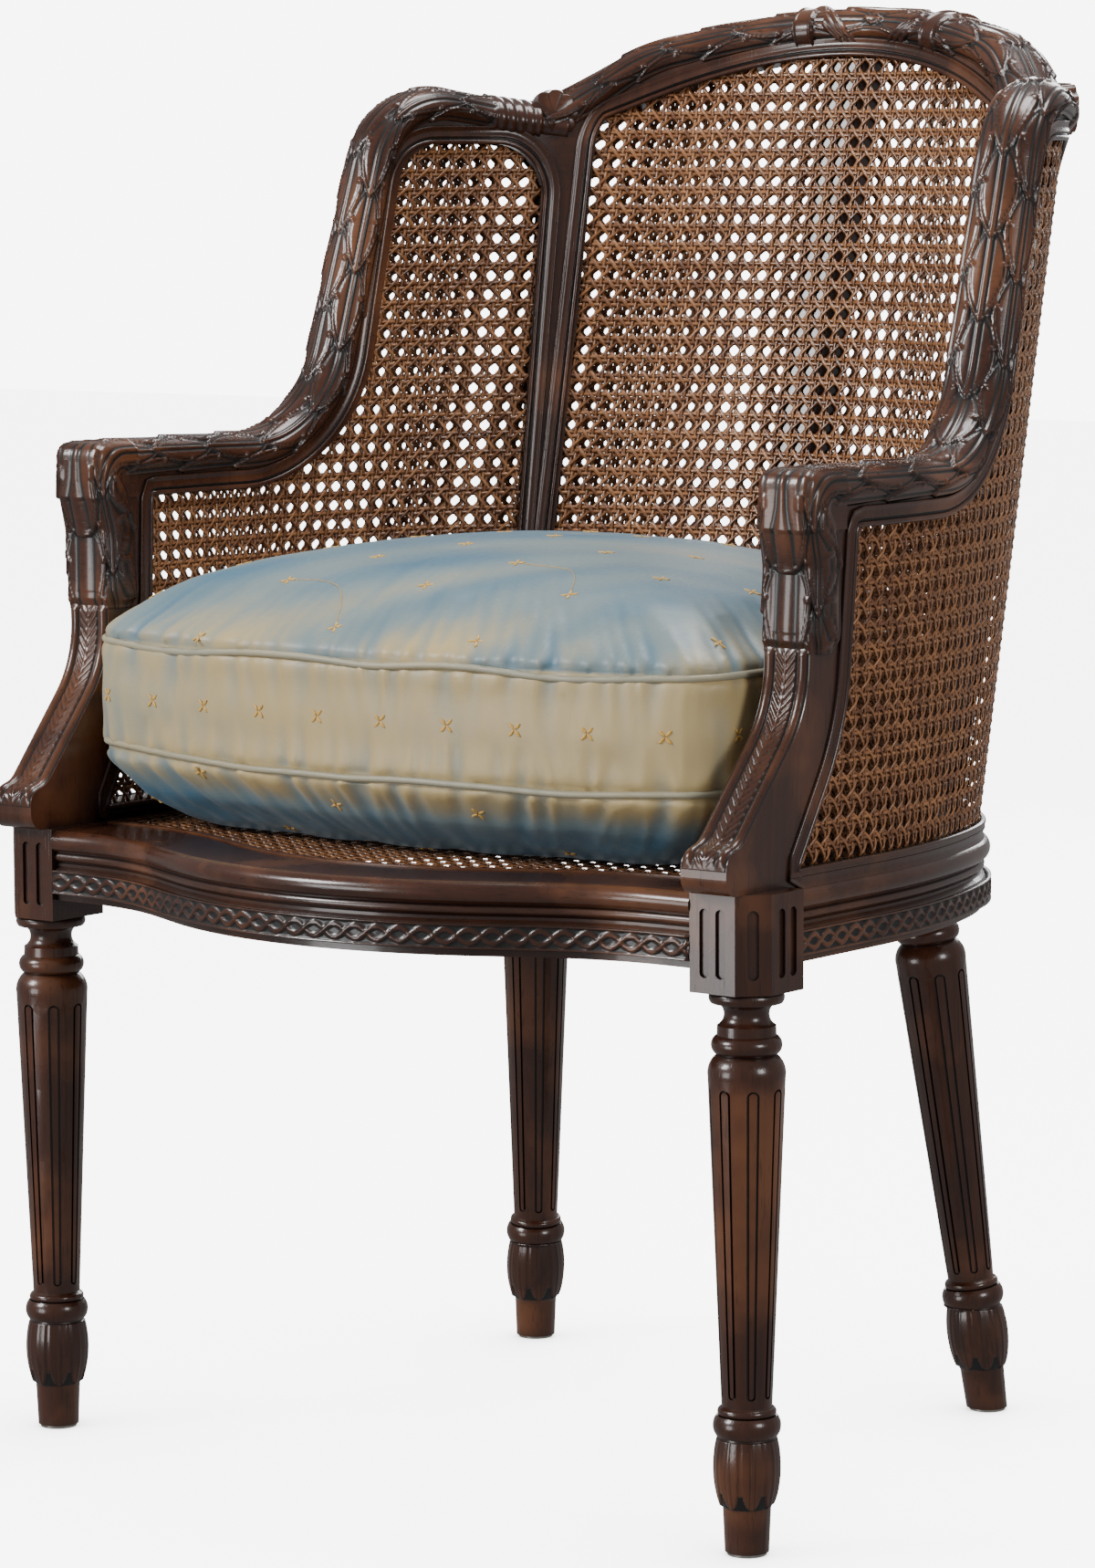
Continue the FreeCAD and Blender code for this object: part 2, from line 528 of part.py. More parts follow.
def front_rail(name):
    """Serpentine front rail between the dies: straight, reverse curve, straight, bow and back again."""
    body = new_body(name)
    reach = "(%s - %s / 2)" % (cell("leg_spread"), cell("die_side"))
    section = sketch_on(body, "YZ_Plane", name + "_section", "-" + reach)
    rail_section(section, "(%s - %%s)" % cell("front_axis"), False, -1)
    route = sketch_on(body, "XY_Plane", name + "_route", cell("rail_top"))
    turn = "(%s * 1 deg)" % cell("bow_turn")
    flat = "(%s - %s)" % (reach, cell("bow_straight"))
    low = "(%s - %s * sin(%s))" % (flat, cell("bow_reverse"), turn)
    low_y = "(%s - %s * (1 - cos(%s)))" % (cell("front_axis"), cell("bow_reverse"), turn)
    bow = "(%s * sin(%s))" % (cell("bow_radius"), turn)
    bow_y = "(%s - (%s - %s) * tan(%s))" % (low_y, low, bow, turn)
    draw(route, [
        ("-" + reach, cell("front_axis")),
        ("-" + flat, cell("front_axis"), cell("bow_reverse"), -1),
        ("-" + low, low_y),
        ("-" + bow, bow_y, cell("bow_radius"), 1),
        (bow, bow_y),
        (low, low_y, cell("bow_reverse"), -1),
        (flat, cell("front_axis")),
        (reach, cell("front_axis")),
    ], closed=False)
    sweep = body.newObject("PartDesign::AdditivePipe", name + "_moulding")
    sweep.Profile = section
    sweep.Spine = route
    return body


def half_width(z):
    """Middle surface of the side wall from the centre at a height."""
    return size("half_width") + size("side_flare") * (z - size("rail_top"))


def plan_radii(z):
    """Radii of the side arc, the corner arc and the back arc at a height."""
    rise = z - size("rail_top")
    corner = size("corner_radius") + size("corner_spread") * rise
    depth = size("back_depth") + size("back_lean") * rise
    c1, s1 = math.cos(math.radians(size("side_turn"))), math.sin(math.radians(size("side_turn")))
    c2, s2 = math.cos(math.radians(size("corner_turn"))), math.sin(math.radians(size("corner_turn")))
    across = half_width(z) - corner * (c1 - c2)
    along = depth - corner * (s2 - s1)
    spread = (1 - c1) * (1 - s2) - c2 * s1
    return (across * (1 - s2) - c2 * along) / spread, corner, ((1 - c1) * along - s1 * across) / spread


def plan_point(z, bearing, offset=0.0):
    """Point of the tub's plan on the +X side, where its outward normal has a bearing from +X in degrees."""
    radii = plan_radii(z)
    turns = [0.0, size("side_turn"), size("corner_turn"), 90.0]
    x, y = half_width(z), size("side_straight")
    for radius, first, last in zip(radii, turns, turns[1:]):
        end = min(max(bearing, first), last)
        x -= radius * (math.cos(math.radians(first)) - math.cos(math.radians(end)))
        y += radius * (math.sin(math.radians(end)) - math.sin(math.radians(first)))
    normal = Vector(math.cos(math.radians(bearing)), math.sin(math.radians(bearing)), 0)
    return Vector(x, y, z) + normal * offset


def bearing_at(z, wanted, coordinate):
    """Bearing where the middle surface reaches a given x (coordinate 0) or y (coordinate 1)."""
    low, high = 0.0, 90.0
    for _ in range(40):
        middle = (low + high) / 2
        value = plan_point(z, middle)[coordinate]
        past = value > wanted if coordinate else value < wanted
        low, high = (low, middle) if past else (middle, high)
    return (low + high) / 2


def plan_edges(z, offset, front):
    """Edges of the whole plan from the right front end, round the back, to the left front end."""
    stations = [0.0, size("side_turn"), size("corner_turn")]
    right = [plan_point(z, bearing, offset) for bearing in stations]
    middles = [plan_point(z, (a + b) / 2, offset) for a, b in zip(stations, stations[1:])]
    start = Vector(right[0].x, front, z)
    edges = [Part.LineSegment(start, right[0])]
    edges += [Part.Arc(a, b, c) for a, b, c in zip(right, middles, right[1:])]
    mirror = [Vector(-point.x, point.y, z) for point in right]
    middles = [Vector(-point.x, point.y, z) for point in middles]
    edges.append(Part.Arc(right[-1], plan_point(z, 90.0, offset), mirror[-1]))
    edges += [Part.Arc(c, b, a) for a, b, c in reversed(list(zip(mirror, middles, mirror[1:])))]
    edges.append(Part.LineSegment(mirror[0], Vector(mirror[0].x, front, z)))
    return [edge.toShape() for edge in edges]


def tub_layer(inner, outer, bottom, top, front):
    """Solid layer of the tub between two offsets of its middle surface."""
    wires = []
    for z in (bottom, top):
        outside = plan_edges(z, outer, front)
        inside = plan_edges(z, inner, front)
        near_face, far_face = half_width(z) + inner, half_width(z) + outer
        right = Part.LineSegment(Vector(near_face, front, z), Vector(far_face, front, z))
        left = Part.LineSegment(Vector(-far_face, front, z), Vector(-near_face, front, z))
        wires.append(Part.Wire([right.toShape()] + outside + [left.toShape()] + inside[::-1]))
    return Part.makeLoft(wires, True, True)


def rounded(corners, closed=True):
    """Wire of straight runs with tangent arcs; a corner is (across, up) or (across, up, radius)."""
    points = [Vector(corner[0], corner[1], 0) for corner in corners]
    count = len(points)
    pieces, last = [], None
    joints = []
    for number, corner in enumerate(corners):
        here = points[number]
        if len(corner) == 2 or (not closed and number in (0, count - 1)):
            joints.append((here, None, here))
            continue
        back = (points[number - 1] - here).normalize()
        ahead = (points[(number + 1) % count] - here).normalize()
        half = back.getAngle(ahead) / 2
        setback = corner[2] / math.tan(half)
        middle = here + (back + ahead).normalize() * (corner[2] / math.sin(half) - corner[2])
        joints.append((here + back * setback, middle, here + ahead * setback))
    for number, (arrive, middle, leave) in enumerate(joints):
        if last is not None and (arrive - last).Length > 1e-6:
            pieces.append(Part.LineSegment(last, arrive).toShape())
        if middle is not None:
            pieces.append(Part.Arc(arrive, middle, leave).toShape())
        last = leave
    if closed and (joints[0][0] - last).Length > 1e-6:
        pieces.append(Part.LineSegment(last, joints[0][0]).toShape())
    return Part.Wire(pieces)


def prism(wire, along, bearing=0.0, low=0.0, high=700.0):
    """Solid that carries an outline (across, up) along a level direction.

    along is "x", "y" or "bearing"; across runs along Y for "x", along X for "y",
    and square to the bearing, towards the back, for "bearing".
    """
    face = Part.Face(wire)
    turn = {"x": 90.0, "y": 180.0, "bearing": bearing + 90.0}[along]
    if along == "y":
        place = Placement(Vector(), Rotation(Vector(1, 0, 0), 90))
        face.Placement = place
        face.translate(Vector(0, low, 0))
        return face.extrude(Vector(0, high - low, 0))
    place = Placement(Vector(), Rotation(Vector(0, 0, 1), turn) * Rotation(Vector(1, 0, 0), 90))
    face.Placement = place
    direction = Vector(math.cos(math.radians(turn - 90.0)), math.sin(math.radians(turn - 90.0)), 0)
    face.translate(direction * low)
    return face.extrude(direction * (high - low))


def mirrored(shape):
    """The same piece on the other side of the chair."""
    return shape.mirror(Vector(), Vector(1, 0, 0))


def grown(wire, amount):
    """The outline let out all round."""
    return wire.makeOffset2D(amount) if amount else wire


# Longer than the chair is wide or deep, for outlines that only have to reach past it
FAR = 520.0
STILE_BEARING = math.radians(size("stile_bearing"))
STILE_ALONG = Vector(-math.sin(STILE_BEARING), math.cos(STILE_BEARING), 0)
STILE_ACROSS = Vector(math.cos(STILE_BEARING), math.sin(STILE_BEARING), 0)
SILL = size("rail_top") + size("wall_sill")
ROLL_HALF = size("roll_height") / 2


def wall_place(z, along):
    """Point of the middle surface at a distance measured along the stile's own width direction."""
    low, high = 0.0, 90.0
    for _ in range(40):
        middle = (low + high) / 2
        past = plan_point(z, middle).dot(STILE_ALONG) > along
        low, high = (low, middle) if past else (middle, high)
    return plan_point(z, (low + high) / 2)


def stile_share(z):
    """How far a height lies between the sill and the shell."""
    return (z - SILL) / (size("shell_top") - SILL)


def stile_centre(z):
    """Middle of a stile, measured along its width direction."""
    return size("stile_low") + (size("stile_high") - size("stile_low")) * stile_share(z)


def stile_edge(z, side):
    """A stile's front edge (side -1) or rear edge (side 1), measured the same way."""
    width = size("stile_low_width") + (size("stile_high_width") - size("stile_low_width")) * stile_share(z)
    return stile_centre(z) + side * width / 2


def side_opening(grow=0.0):
    """Right side opening: arm line, wing and rounded top, its rear edge square to the wall at the stile."""
    joint, top = size("arm_joint"), size("side_top")
    wing = size("wing_corner") + size("wing_slope") * (top - joint)
    front = rounded([
        (-FAR / 8, SILL), (-FAR / 8, joint), (size("wing_corner"), joint, size("arm_curve")),
        (wing, top, size("opening_curve")), (FAR, top), (FAR, SILL)])
    rear = rounded([
        (-FAR, SILL), (stile_edge(SILL, -1), SILL), (stile_edge(top, -1), top, size("opening_curve")),
        (-FAR, top)])
    shape = prism(grown(front, grow), "x", high=FAR)
    return shape.common(prism(grown(rear, grow), "bearing", size("stile_bearing"), high=FAR * 1.6))


def back_opening(grow=0.0):
    """Back opening: segmental top, rounded upper corners, side edges square to the wall at the stiles."""
    fall = math.tan(math.radians(size("back_fall")))
    peak = size("back_top") + size("back_curve") * (1 / math.cos(math.radians(size("back_fall"))) - 1)
    head = rounded([
        (-FAR / 2, SILL), (FAR / 2, SILL), (FAR / 2, peak - fall * FAR / 2), (0.0, peak, size("back_curve")),
        (-FAR / 2, peak - fall * FAR / 2)])
    corner, reach = size("corner_height"), FAR * 1.2
    edge = rounded([
        (stile_edge(SILL, 1), SILL), (stile_edge(corner, 1), corner, size("opening_curve")),
        (stile_edge(corner, 1) + reach, corner + size("corner_rise") * reach),
        (stile_edge(corner, 1) + reach, SILL)])
    flank = prism(grown(edge, grow), "bearing", size("stile_bearing"), low=FAR / 8, high=FAR * 1.3)
    shape = prism(grown(head, grow), "y", low=FAR / 3, high=FAR * 1.3)
    return shape.common(flank).common(mirrored(flank))


def shell_plane():
    """Everything behind the upright plane through the shell, on the right."""
    slab = Part.makeBox(4 * FAR, 2 * FAR, 2 * FAR, Vector(-2 * FAR, 0, 0))
    point = wall_place(size("shell_top"), size("shell_place"))
    slab.Placement = Placement(Vector(point.x, point.y, 0), Rotation(Vector(0, 0, 1), size("stile_bearing")))
    return slab


def roll_line(along):
    """Centre line of the carved roll: of the arm and wing in side view, or of the crest in front view."""
    if along == "x":
        level = size("arm_top") - ROLL_HALF
        wing_y = size("roll_corner") + size("roll_slope") * (size("wing_top") - level)
        end_y = wall_place(size("shell_top"), size("shell_place")).y + size("roll_width") / 2
        return [(size("knob_front") + size("knob_length") * 0.6, level),
                (size("roll_corner"), level, size("roll_curve")),
                (wing_y, size("wing_top"), size("wing_curve")),
                (end_y, size("wing_top") - size("wing_fall") * (end_y - wing_y))]
    half_turn = math.atan(size("crest_fall"))
    peak = size("crest_top") - ROLL_HALF + size("crest_curve") * (1 / math.cos(half_turn) - 1)
    shoulder = peak - size("crest_fall") * size("crest_shoulder")
    end = wall_place(size("shell_top"), size("shell_place")).x + size("roll_width") / 2
    low = shoulder - size("shoulder_fall") * (end - size("crest_shoulder"))
    return [(-end, low), (-size("crest_shoulder"), shoulder, size("shoulder_curve")),
            (0.0, peak, size("crest_curve")), (size("crest_shoulder"), shoulder, size("shoulder_curve")),
            (end, low)]


def oval(middle, across, up):
    """Oval section of the roll in four arcs."""
    half_across = across * (size("roll_width") / 2)
    half_up = up * ROLL_HALF
    turns = [eighth * math.pi / 4 for eighth in range(9)]
    points = [middle + half_across * math.cos(turn) + half_up * math.sin(turn) for turn in turns]
    return Part.Wire([Part.Arc(*points[first:first + 3]).toShape() for first in (0, 2, 4, 6)])


def roll(along, count):
    """Oval carved roll, lofted along its centre line on the middle surface of the wall."""
    line = rounded(roll_line(along), closed=False).discretize(Number=count)
    places = []
    for point in line:
        if along == "x":
            bearing = bearing_at(point.y, point.x, 1) if point.x > size("side_straight") else 0.0
            spot = plan_point(point.y, bearing)
            if point.x <= size("side_straight"):
                spot.y = point.x
        else:
            bearing = bearing_at(point.y, abs(point.x), 0)
            spot = plan_point(point.y, bearing)
            spot.x = point.x
            bearing = bearing if point.x >= 0 else 180.0 - bearing
        places.append((spot, math.radians(bearing)))
    sections = []
    for number, (spot, bearing) in enumerate(places):
        before, after = places[max(number - 1, 0)][0], places[min(number + 1, count - 1)][0]
        run = (after - before).normalize()
        across = Vector(math.cos(bearing), math.sin(bearing), 0)
        across = (across - run * across.dot(run)).normalize()
        sections.append(oval(spot, across, run.cross(across)))
    return Part.makeLoft(sections, True, False)


JOINT = size("arm_joint")
SPANDREL = size("spandrel")
TOP = size("rail_top")
FLOOR_OF_RAIL = TOP - size("rail_depth")
PLAY = size("groove_play")


def post_profile():
    """Side outline of an arm post: upright, swept forward in a hollow curve to its scroll knob on the die."""
    return rounded([
        (size("post_front"), JOINT),
        (size("post_front"), TOP + size("sweep_high"), size("sweep_curve")),
        (size("sweep_front"), TOP + size("sweep_low"), size("sweep_bend")),
        (size("toe_front"), TOP + size("toe_height"), size("toe_round")),
        (size("toe_front"), TOP, size("toe_round")),
        (size("die_side") / 2, TOP),
        (size("die_side") / 2, SILL),
        (size("post_heel"), SILL),
        (size("back_bend_y"), TOP + size("back_bend_high"), size("back_bend")),
        (size("post_back"), JOINT)])


def before_post(lap):
    """Everything in front of the back of a post, less the lap of the cane in it."""
    edge = rounded([
        (-FAR, 0.0), (size("post_heel") - lap, 0.0), (size("post_heel") - lap, SILL),
        (size("back_bend_y") - lap, TOP + size("back_bend_high"), size("back_bend")),
        (size("post_back") - lap, JOINT), (size("post_back") - lap, JOINT + FAR / 8),
        (-FAR, JOINT + FAR / 8)])
    return prism(edge, "x", high=FAR)


def cane_layer(side, play):
    """One layer of woven cane all round the tub: side -1 is the inner layer, 1 the outer one."""
    outer, inner = size("cane_outer") + play, size("cane_outer") - size("cane_thick") - play
    faces = (side * outer, side * inner)
    return tub_layer(min(faces), max(faces), SILL + PLAY - play, size("crest_top"), size("toe_front"))


def cane_fields(lap):
    """Fields of cane: each opening let out by the lap; the side field starts inside the back of the post."""
    right = side_opening(lap).cut(before_post(lap))
    return {"right": right, "left": mirrored(right), "back": back_opening(lap)}


panels, grooves = {}, []
slot_fields = cane_fields(size("cane_lap") + PLAY)
for layer, side in (("inner", -1), ("outer", 1)):
    sheet_of_cane = cane_layer(side, 0.0)
    slot = cane_layer(side, PLAY)
    for place, field in cane_fields(size("cane_lap")).items():
        panels["%s_cane_%s" % (layer, place)] = sheet_of_cane.common(field)
        grooves.append(slot.common(slot_fields[place]))

WALL_FACES = (-size("wall_half"), size("wall_half"))
wall = tub_layer(*WALL_FACES, SILL, size("crest_top") + ROLL_HALF, size("toe_front"))


def arm_rail():
    """Right arm rail, from the knob along the arm, up the wing and over to the shell."""
    line = roll_line("x")
    inside = size("wing_corner") + size("opening_curve") * 2
    region = rounded([(line[0][0], JOINT)] + line
                     + [(line[-1][0], SPANDREL), (inside, SPANDREL), (inside, JOINT)])
    frame = wall.common(prism(region, "x", high=FAR)).cut(side_opening())
    half = size("roll_width") / 2
    level = size("arm_top") - ROLL_HALF
    knob = Part.makeBox(2 * half, size("knob_length"), size("arm_top") - JOINT,
                        Vector(half_width(level) - half, size("knob_front"), JOINT))
    visible = [edge for edge in knob.Edges
               if edge.BoundBox.ZMax > JOINT + 1 and edge.BoundBox.YMin < size("knob_front") + 1]
    knob = knob.makeFillet(size("knob_round"), visible)
    return frame.fuse([roll("x", 18), knob]).cut(shell_plane()).removeSplitter()


def shell():
    """Turned-over shell that covers the joint of arm rail and crest."""
    middle = wall_place(size("shell_top"), size("shell_place")) - Vector(0, 0, size("shell_radius"))
    middle -= STILE_ACROSS * (size("shell_width") / 2)
    return Part.makeCylinder(size("shell_radius"), size("shell_width"), middle, STILE_ACROSS)


def crest_rail():
    """Crest between the two wings, with the shells at its ends."""
    line = roll_line("y")
    region = rounded(line + [(line[-1][0], SPANDREL), (line[0][0], SPANDREL)])
    frame = wall.common(prism(region, "y", low=FAR / 3, high=FAR * 1.3)).cut(back_opening())
    frame = frame.fuse(roll("y", 21))
    behind = shell_plane()
    return frame.common(behind).common(mirrored(behind)).fuse([shell(), mirrored(shell())]).removeSplitter()


def stile():
    """Right stile between side and back cane, widening from the sill to the spandrel."""
    outline = Part.makePolygon([
        Vector(stile_edge(SILL, -1), SILL, 0), Vector(stile_edge(SILL, 1), SILL, 0),
        Vector(stile_edge(SPANDREL, 1), SPANDREL, 0), Vector(stile_edge(SPANDREL, -1), SPANDREL, 0),
        Vector(stile_edge(SILL, -1), SILL, 0)])
    return wall.common(prism(outline, "bearing", size("stile_bearing"), high=FAR * 1.6))


def arm_post():
    """Right arm post: the wall's straight run cut to the swept outline."""
    stock = tub_layer(*WALL_FACES, TOP, JOINT, size("toe_front") - ROLL_HALF)
    return stock.common(prism(post_profile(), "x", high=FAR))


def front_edges(offset, z):
    """Plan of the serpentine front at an inward offset from its middle line, from left to right."""
    turn = math.radians(size("bow_turn"))
    reach = size("leg_spread") - size("die_side") / 2
    flat = reach - size("bow_straight")
    axis = size("front_axis")
    reverse, bow = size("bow_reverse"), size("bow_radius")
    low_y = axis - reverse * (1 - math.cos(turn))
    bow_y = low_y - (flat - (reverse + bow) * math.sin(turn)) * math.tan(turn)
    heel = Vector(flat, axis - reverse, z)
    centre = Vector(0, bow_y + bow * math.cos(turn), z)

    def on_reverse(angle):
        return heel + Vector(-math.sin(angle), math.cos(angle), 0) * (reverse + offset)

    def on_bow(angle):
        return centre + Vector(math.sin(angle), -math.cos(angle), 0) * (bow - offset)

    side = half_width(TOP) - offset
    right = [Vector(side, axis + offset, z), on_reverse(0.0), on_reverse(turn), on_bow(turn)]
    left = [Vector(-point.x, point.y, z) for point in right]
    bend = on_reverse(turn / 2)
    edges = [Part.LineSegment(left[0], left[1]),
             Part.Arc(left[1], Vector(-bend.x, bend.y, z), left[2]),
             Part.LineSegment(left[2], left[3]),
             Part.Arc(left[3], on_bow(0.0), right[3]),
             Part.LineSegment(right[3], right[2]),
             Part.Arc(right[2], bend, right[1]),
             Part.LineSegment(right[1], right[0])]
    return [edge.toShape() for edge in edges], right[0].y


def seat_outline(offset, z):
    """Closed plan of the seat at an inward offset from the middle of the rails."""
    front, start = front_edges(offset, TOP)
    wire = Part.Wire(front + plan_edges(TOP, -offset, start))
    wire.translate(Vector(0, 0, z - TOP))
    return wire


def seat_cane():
    """Woven seat, let into the rabbet of the four rails."""
    edge = size("rail_inner") - size("cane_rabbet") + PLAY
    face = Part.Face(seat_outline(edge, TOP - size("seat_cane")))
    return face.extrude(Vector(0, 0, size("seat_cane") - PLAY))


def seat_binder():
    """Thin binder laid over the edge of the seat cane."""
    edge = size("rail_inner") - size("cane_rabbet") + PLAY
    outer = Part.Face(seat_outline(edge, TOP - PLAY))
    inner = Part.Face(seat_outline(edge + size("binder_width"), TOP - PLAY))
    return outer.cut(inner).extrude(Vector(0, 0, size("binder_thick")))


def rod(start, end, radius):
    """Round rod between two points."""
    run = end - start
    return Part.makeCylinder(radius, run.Length, start, run)


def both(shapes):
    """Right-hand pieces and their mirror images."""
    return list(shapes) + [mirrored(shape) for shape in shapes]


CORNER = math.radians(size("corner_turn"))
CORNER_OUT = Vector(math.cos(CORNER), math.sin(CORNER), 0)
CORNER_ALONG = Vector(-math.sin(CORNER), math.cos(CORNER), 0)
RAIL_JOINT = plan_point(TOP, size("corner_turn")) - Vector(0, 0, TOP)
DOWEL_LEVELS = [size("dowel_low"), size("dowel_low") + size("dowel_gap")]


def rail_dowels(play):
    """Dowels of the seat frame: front rail to dies, side rails to dies, side rails to back rail."""
    radius, half = size("dowel_radius") + play, size("dowel_length") / 2 + play
    inner_face = size("leg_spread") - size("die_side") / 2
    rear_face = size("die_side") / 2
    offset = CORNER_OUT * (-size("rail_inner") / 2)
    rods = []
    for z in DOWEL_LEVELS:
        rods.append(rod(Vector(inner_face - half, size("front_axis"), z),
                        Vector(inner_face + half, size("front_axis"), z), radius))
        rods.append(rod(Vector(half_width(TOP) + radius, rear_face - half, z),
                        Vector(half_width(TOP) + radius, rear_face + half, z), radius))
        joint = RAIL_JOINT + offset + Vector(0, 0, z)
        rods.append(rod(joint - CORNER_ALONG * half, joint + CORNER_ALONG * half, radius))
    return both(rods)


def leg_dowels(play):
    """Dowels that hold the rear legs under the rail joints."""
    radius, half = size("dowel_radius") + play, size("dowel_length") / 2 + play
    middle = Vector(size("rear_top_x"), size("rear_top_y"), FLOOR_OF_RAIL)
    return both([rod(middle - Vector(0, 0, half), middle + Vector(0, 0, half), radius)])


def post_dowels(play):
    """Dowels of the arm posts, into the die below and the arm rail above."""
    radius, half = size("dowel_radius") + play, size("dowel_length") / 2 + play
    foot = Vector(half_width(TOP), size("front_axis"), TOP)
    head = Vector(half_width(JOINT), (size("post_front") + size("post_back")) / 2, JOINT)
    return both([rod(foot - Vector(0, 0, half / 2), foot + Vector(0, 0, half), radius),
                 rod(head - Vector(0, 0, half), head + Vector(0, 0, half / 2), radius)])


def stile_dowels(play):
    """Dowels of the stiles, into the rail joint below and the spandrel above."""
    radius, half = size("dowel_radius") + play, size("dowel_length") / 2 + play
    foot = wall_place(SILL, stile_centre(SILL))
    head = wall_place(SPANDREL, stile_centre(SPANDREL))
    up = Vector(0, 0, half)
    return both([rod(foot - up, foot + up, radius), rod(head - up, head + up * 0.6, radius)])


def crest_dowels(play):
    """Dowels that join the arm rails to the crest at the shells."""
    radius, half = size("dowel_radius") + play, size("dowel_length") / 2 + play
    z = SPANDREL + size("dowel_length") * 0.6 + size("dowel_radius") * 2
    middle = wall_place(z, size("shell_place"))
    return both([rod(middle - STILE_ALONG * half, middle + STILE_ALONG * half, radius)])


def block_stock(outline, bottom):
    """Corner block with the given plan outline."""
    wire = Part.makePolygon([point + Vector(0, 0, bottom) for point in outline + outline[:1]])
    return Part.Face(wire).extrude(Vector(0, 0, size("block_height")))


BLOCK_FLOOR = TOP - size("seat_cane") - size("block_drop") - size("block_height")


def corner_blocks():
    """Right front and rear corner blocks, before the rails are cut away."""
    inner = half_width(TOP) - size("rail_inner")
    back = size("front_axis") + size("rail_inner")
    lap = size("die_side") / 10
    reach = size("block_reach")
    front = [Vector(inner + lap, back - lap, 0), Vector(inner + lap, back + reach, 0),
             Vector(inner, back + reach, 0), Vector(inner - reach, back, 0),
             Vector(inner - reach, back - lap, 0)]
    point = RAIL_JOINT - CORNER_OUT * (size("rail_inner") - lap)
    depth = CORNER_OUT * (reach / 2)
    rear = [point + CORNER_ALONG * (reach * 0.7), point - CORNER_ALONG * (reach * 0.7),
            point - CORNER_ALONG * (reach * 0.3) - depth, point + CORNER_ALONG * (reach * 0.3) - depth]
    return [block_stock(front, BLOCK_FLOOR), block_stock(rear, BLOCK_FLOOR)]


def screw(point, direction, play):
    """Round-headed wood screw, head at the point, pointed shank along the direction."""
    direction = Vector(direction).normalize()
    radius, length = size("screw_radius") + play, size("screw_length") + play
    shank = Part.makeCylinder(radius, length * 0.8, point, direction)
    tip = Part.makeCone(radius, radius * 0.2, length * 0.2, point + direction * (length * 0.8), direction)
    head = Part.makeCone(size("screw_head") * 0.6, size("screw_head"), size("screw_radius"),
                         point - direction * size("screw_radius"), direction)
    return shank.fuse([tip, head])


def block_screws(play):
    """Two screws through each corner block into its two rails."""
    inner = half_width(TOP) - size("rail_inner")
    back = size("front_axis") + size("rail_inner")
    reach, z = size("block_reach"), BLOCK_FLOOR + size("block_height") / 2
    slope = Vector(-1, 1, 0).normalize()
    middle = Vector(inner - reach / 2, back + reach / 2, z)
    spread = Vector(1, 1, 0).normalize() * (reach / 4)
    screws = [screw(middle - spread, Vector(0.3, -1, 0), play),
              screw(middle + spread, Vector(1, -0.3, 0), play)]
    inset = size("rail_inner") - size("die_side") / 10 + reach / 2
    point = RAIL_JOINT - CORNER_OUT * inset + Vector(0, 0, z)
    for side in (-1, 1):
        screws.append(screw(point + CORNER_ALONG * (side * reach * 0.2), CORNER_OUT, play))
    return both(screws)


def glides():
    """Four thin glides under the feet."""
    radius = size("foot_tip") - size("glide_inset")
    spots = [Vector(size("leg_spread"), 0, 0), Vector(size("rear_foot_x"), size("rear_foot_y"), 0)]
    return both([Part.makeCylinder(radius, size("glide_thick"), spot) for spot in spots])


def back_brace():
    """Upright between the two layers of back cane, from the sill to the crest."""
    reach = size("cane_outer") - size("cane_thick") - size("brace_play")
    layer = tub_layer(-reach, reach, SILL, size("crest_top"), size("toe_front"))
    width = size("brace_width")
    strip = Part.makeBox(width, FAR, FAR, Vector(-width / 2, FAR / 2, SILL))
    return layer.common(strip).common(back_opening())


def cushion_plan(share, z):
    """Closed plan of the cushion, drawn in towards its centre by a share of 1."""
    half, corner, bow = size("cushion_half"), size("cushion_corner"), size("cushion_bow")
    centre = Vector(0, size("cushion_front") + math.sqrt(bow ** 2 - half ** 2), 0)
    hub = Vector(half - corner, centre.y - math.sqrt((bow - corner) ** 2 - (half - corner) ** 2), 0)
    out = (hub - centre).normalize()
    bend = hub + (out + Vector(1, 0, 0)).normalize() * corner
    start, meet = Vector(half, hub.y, 0), hub + out * corner
    front = [Part.Arc(flipped(start), flipped(bend), flipped(meet)),
             Part.Arc(flipped(meet), centre - Vector(0, bow, 0), meet),
             Part.Arc(meet, bend, start)]
    level = size("cushion_low")
    rest_of_plan = Part.Wire(plan_edges(level, half - half_width(level), hub.y))
    rest_of_plan.translate(Vector(0, 0, -level))
    middle = Vector(0, size("cushion_middle"), 0)
    wire = Part.Wire([edge.toShape() for edge in front] + rest_of_plan.Edges)
    wire.translate(-middle)
    wire.scale(share)
    wire.translate(middle + Vector(0, 0, z))
    return wire


def flipped(point):
    """The same point on the other side of the chair."""
    return Vector(-point.x, point.y, point.z)


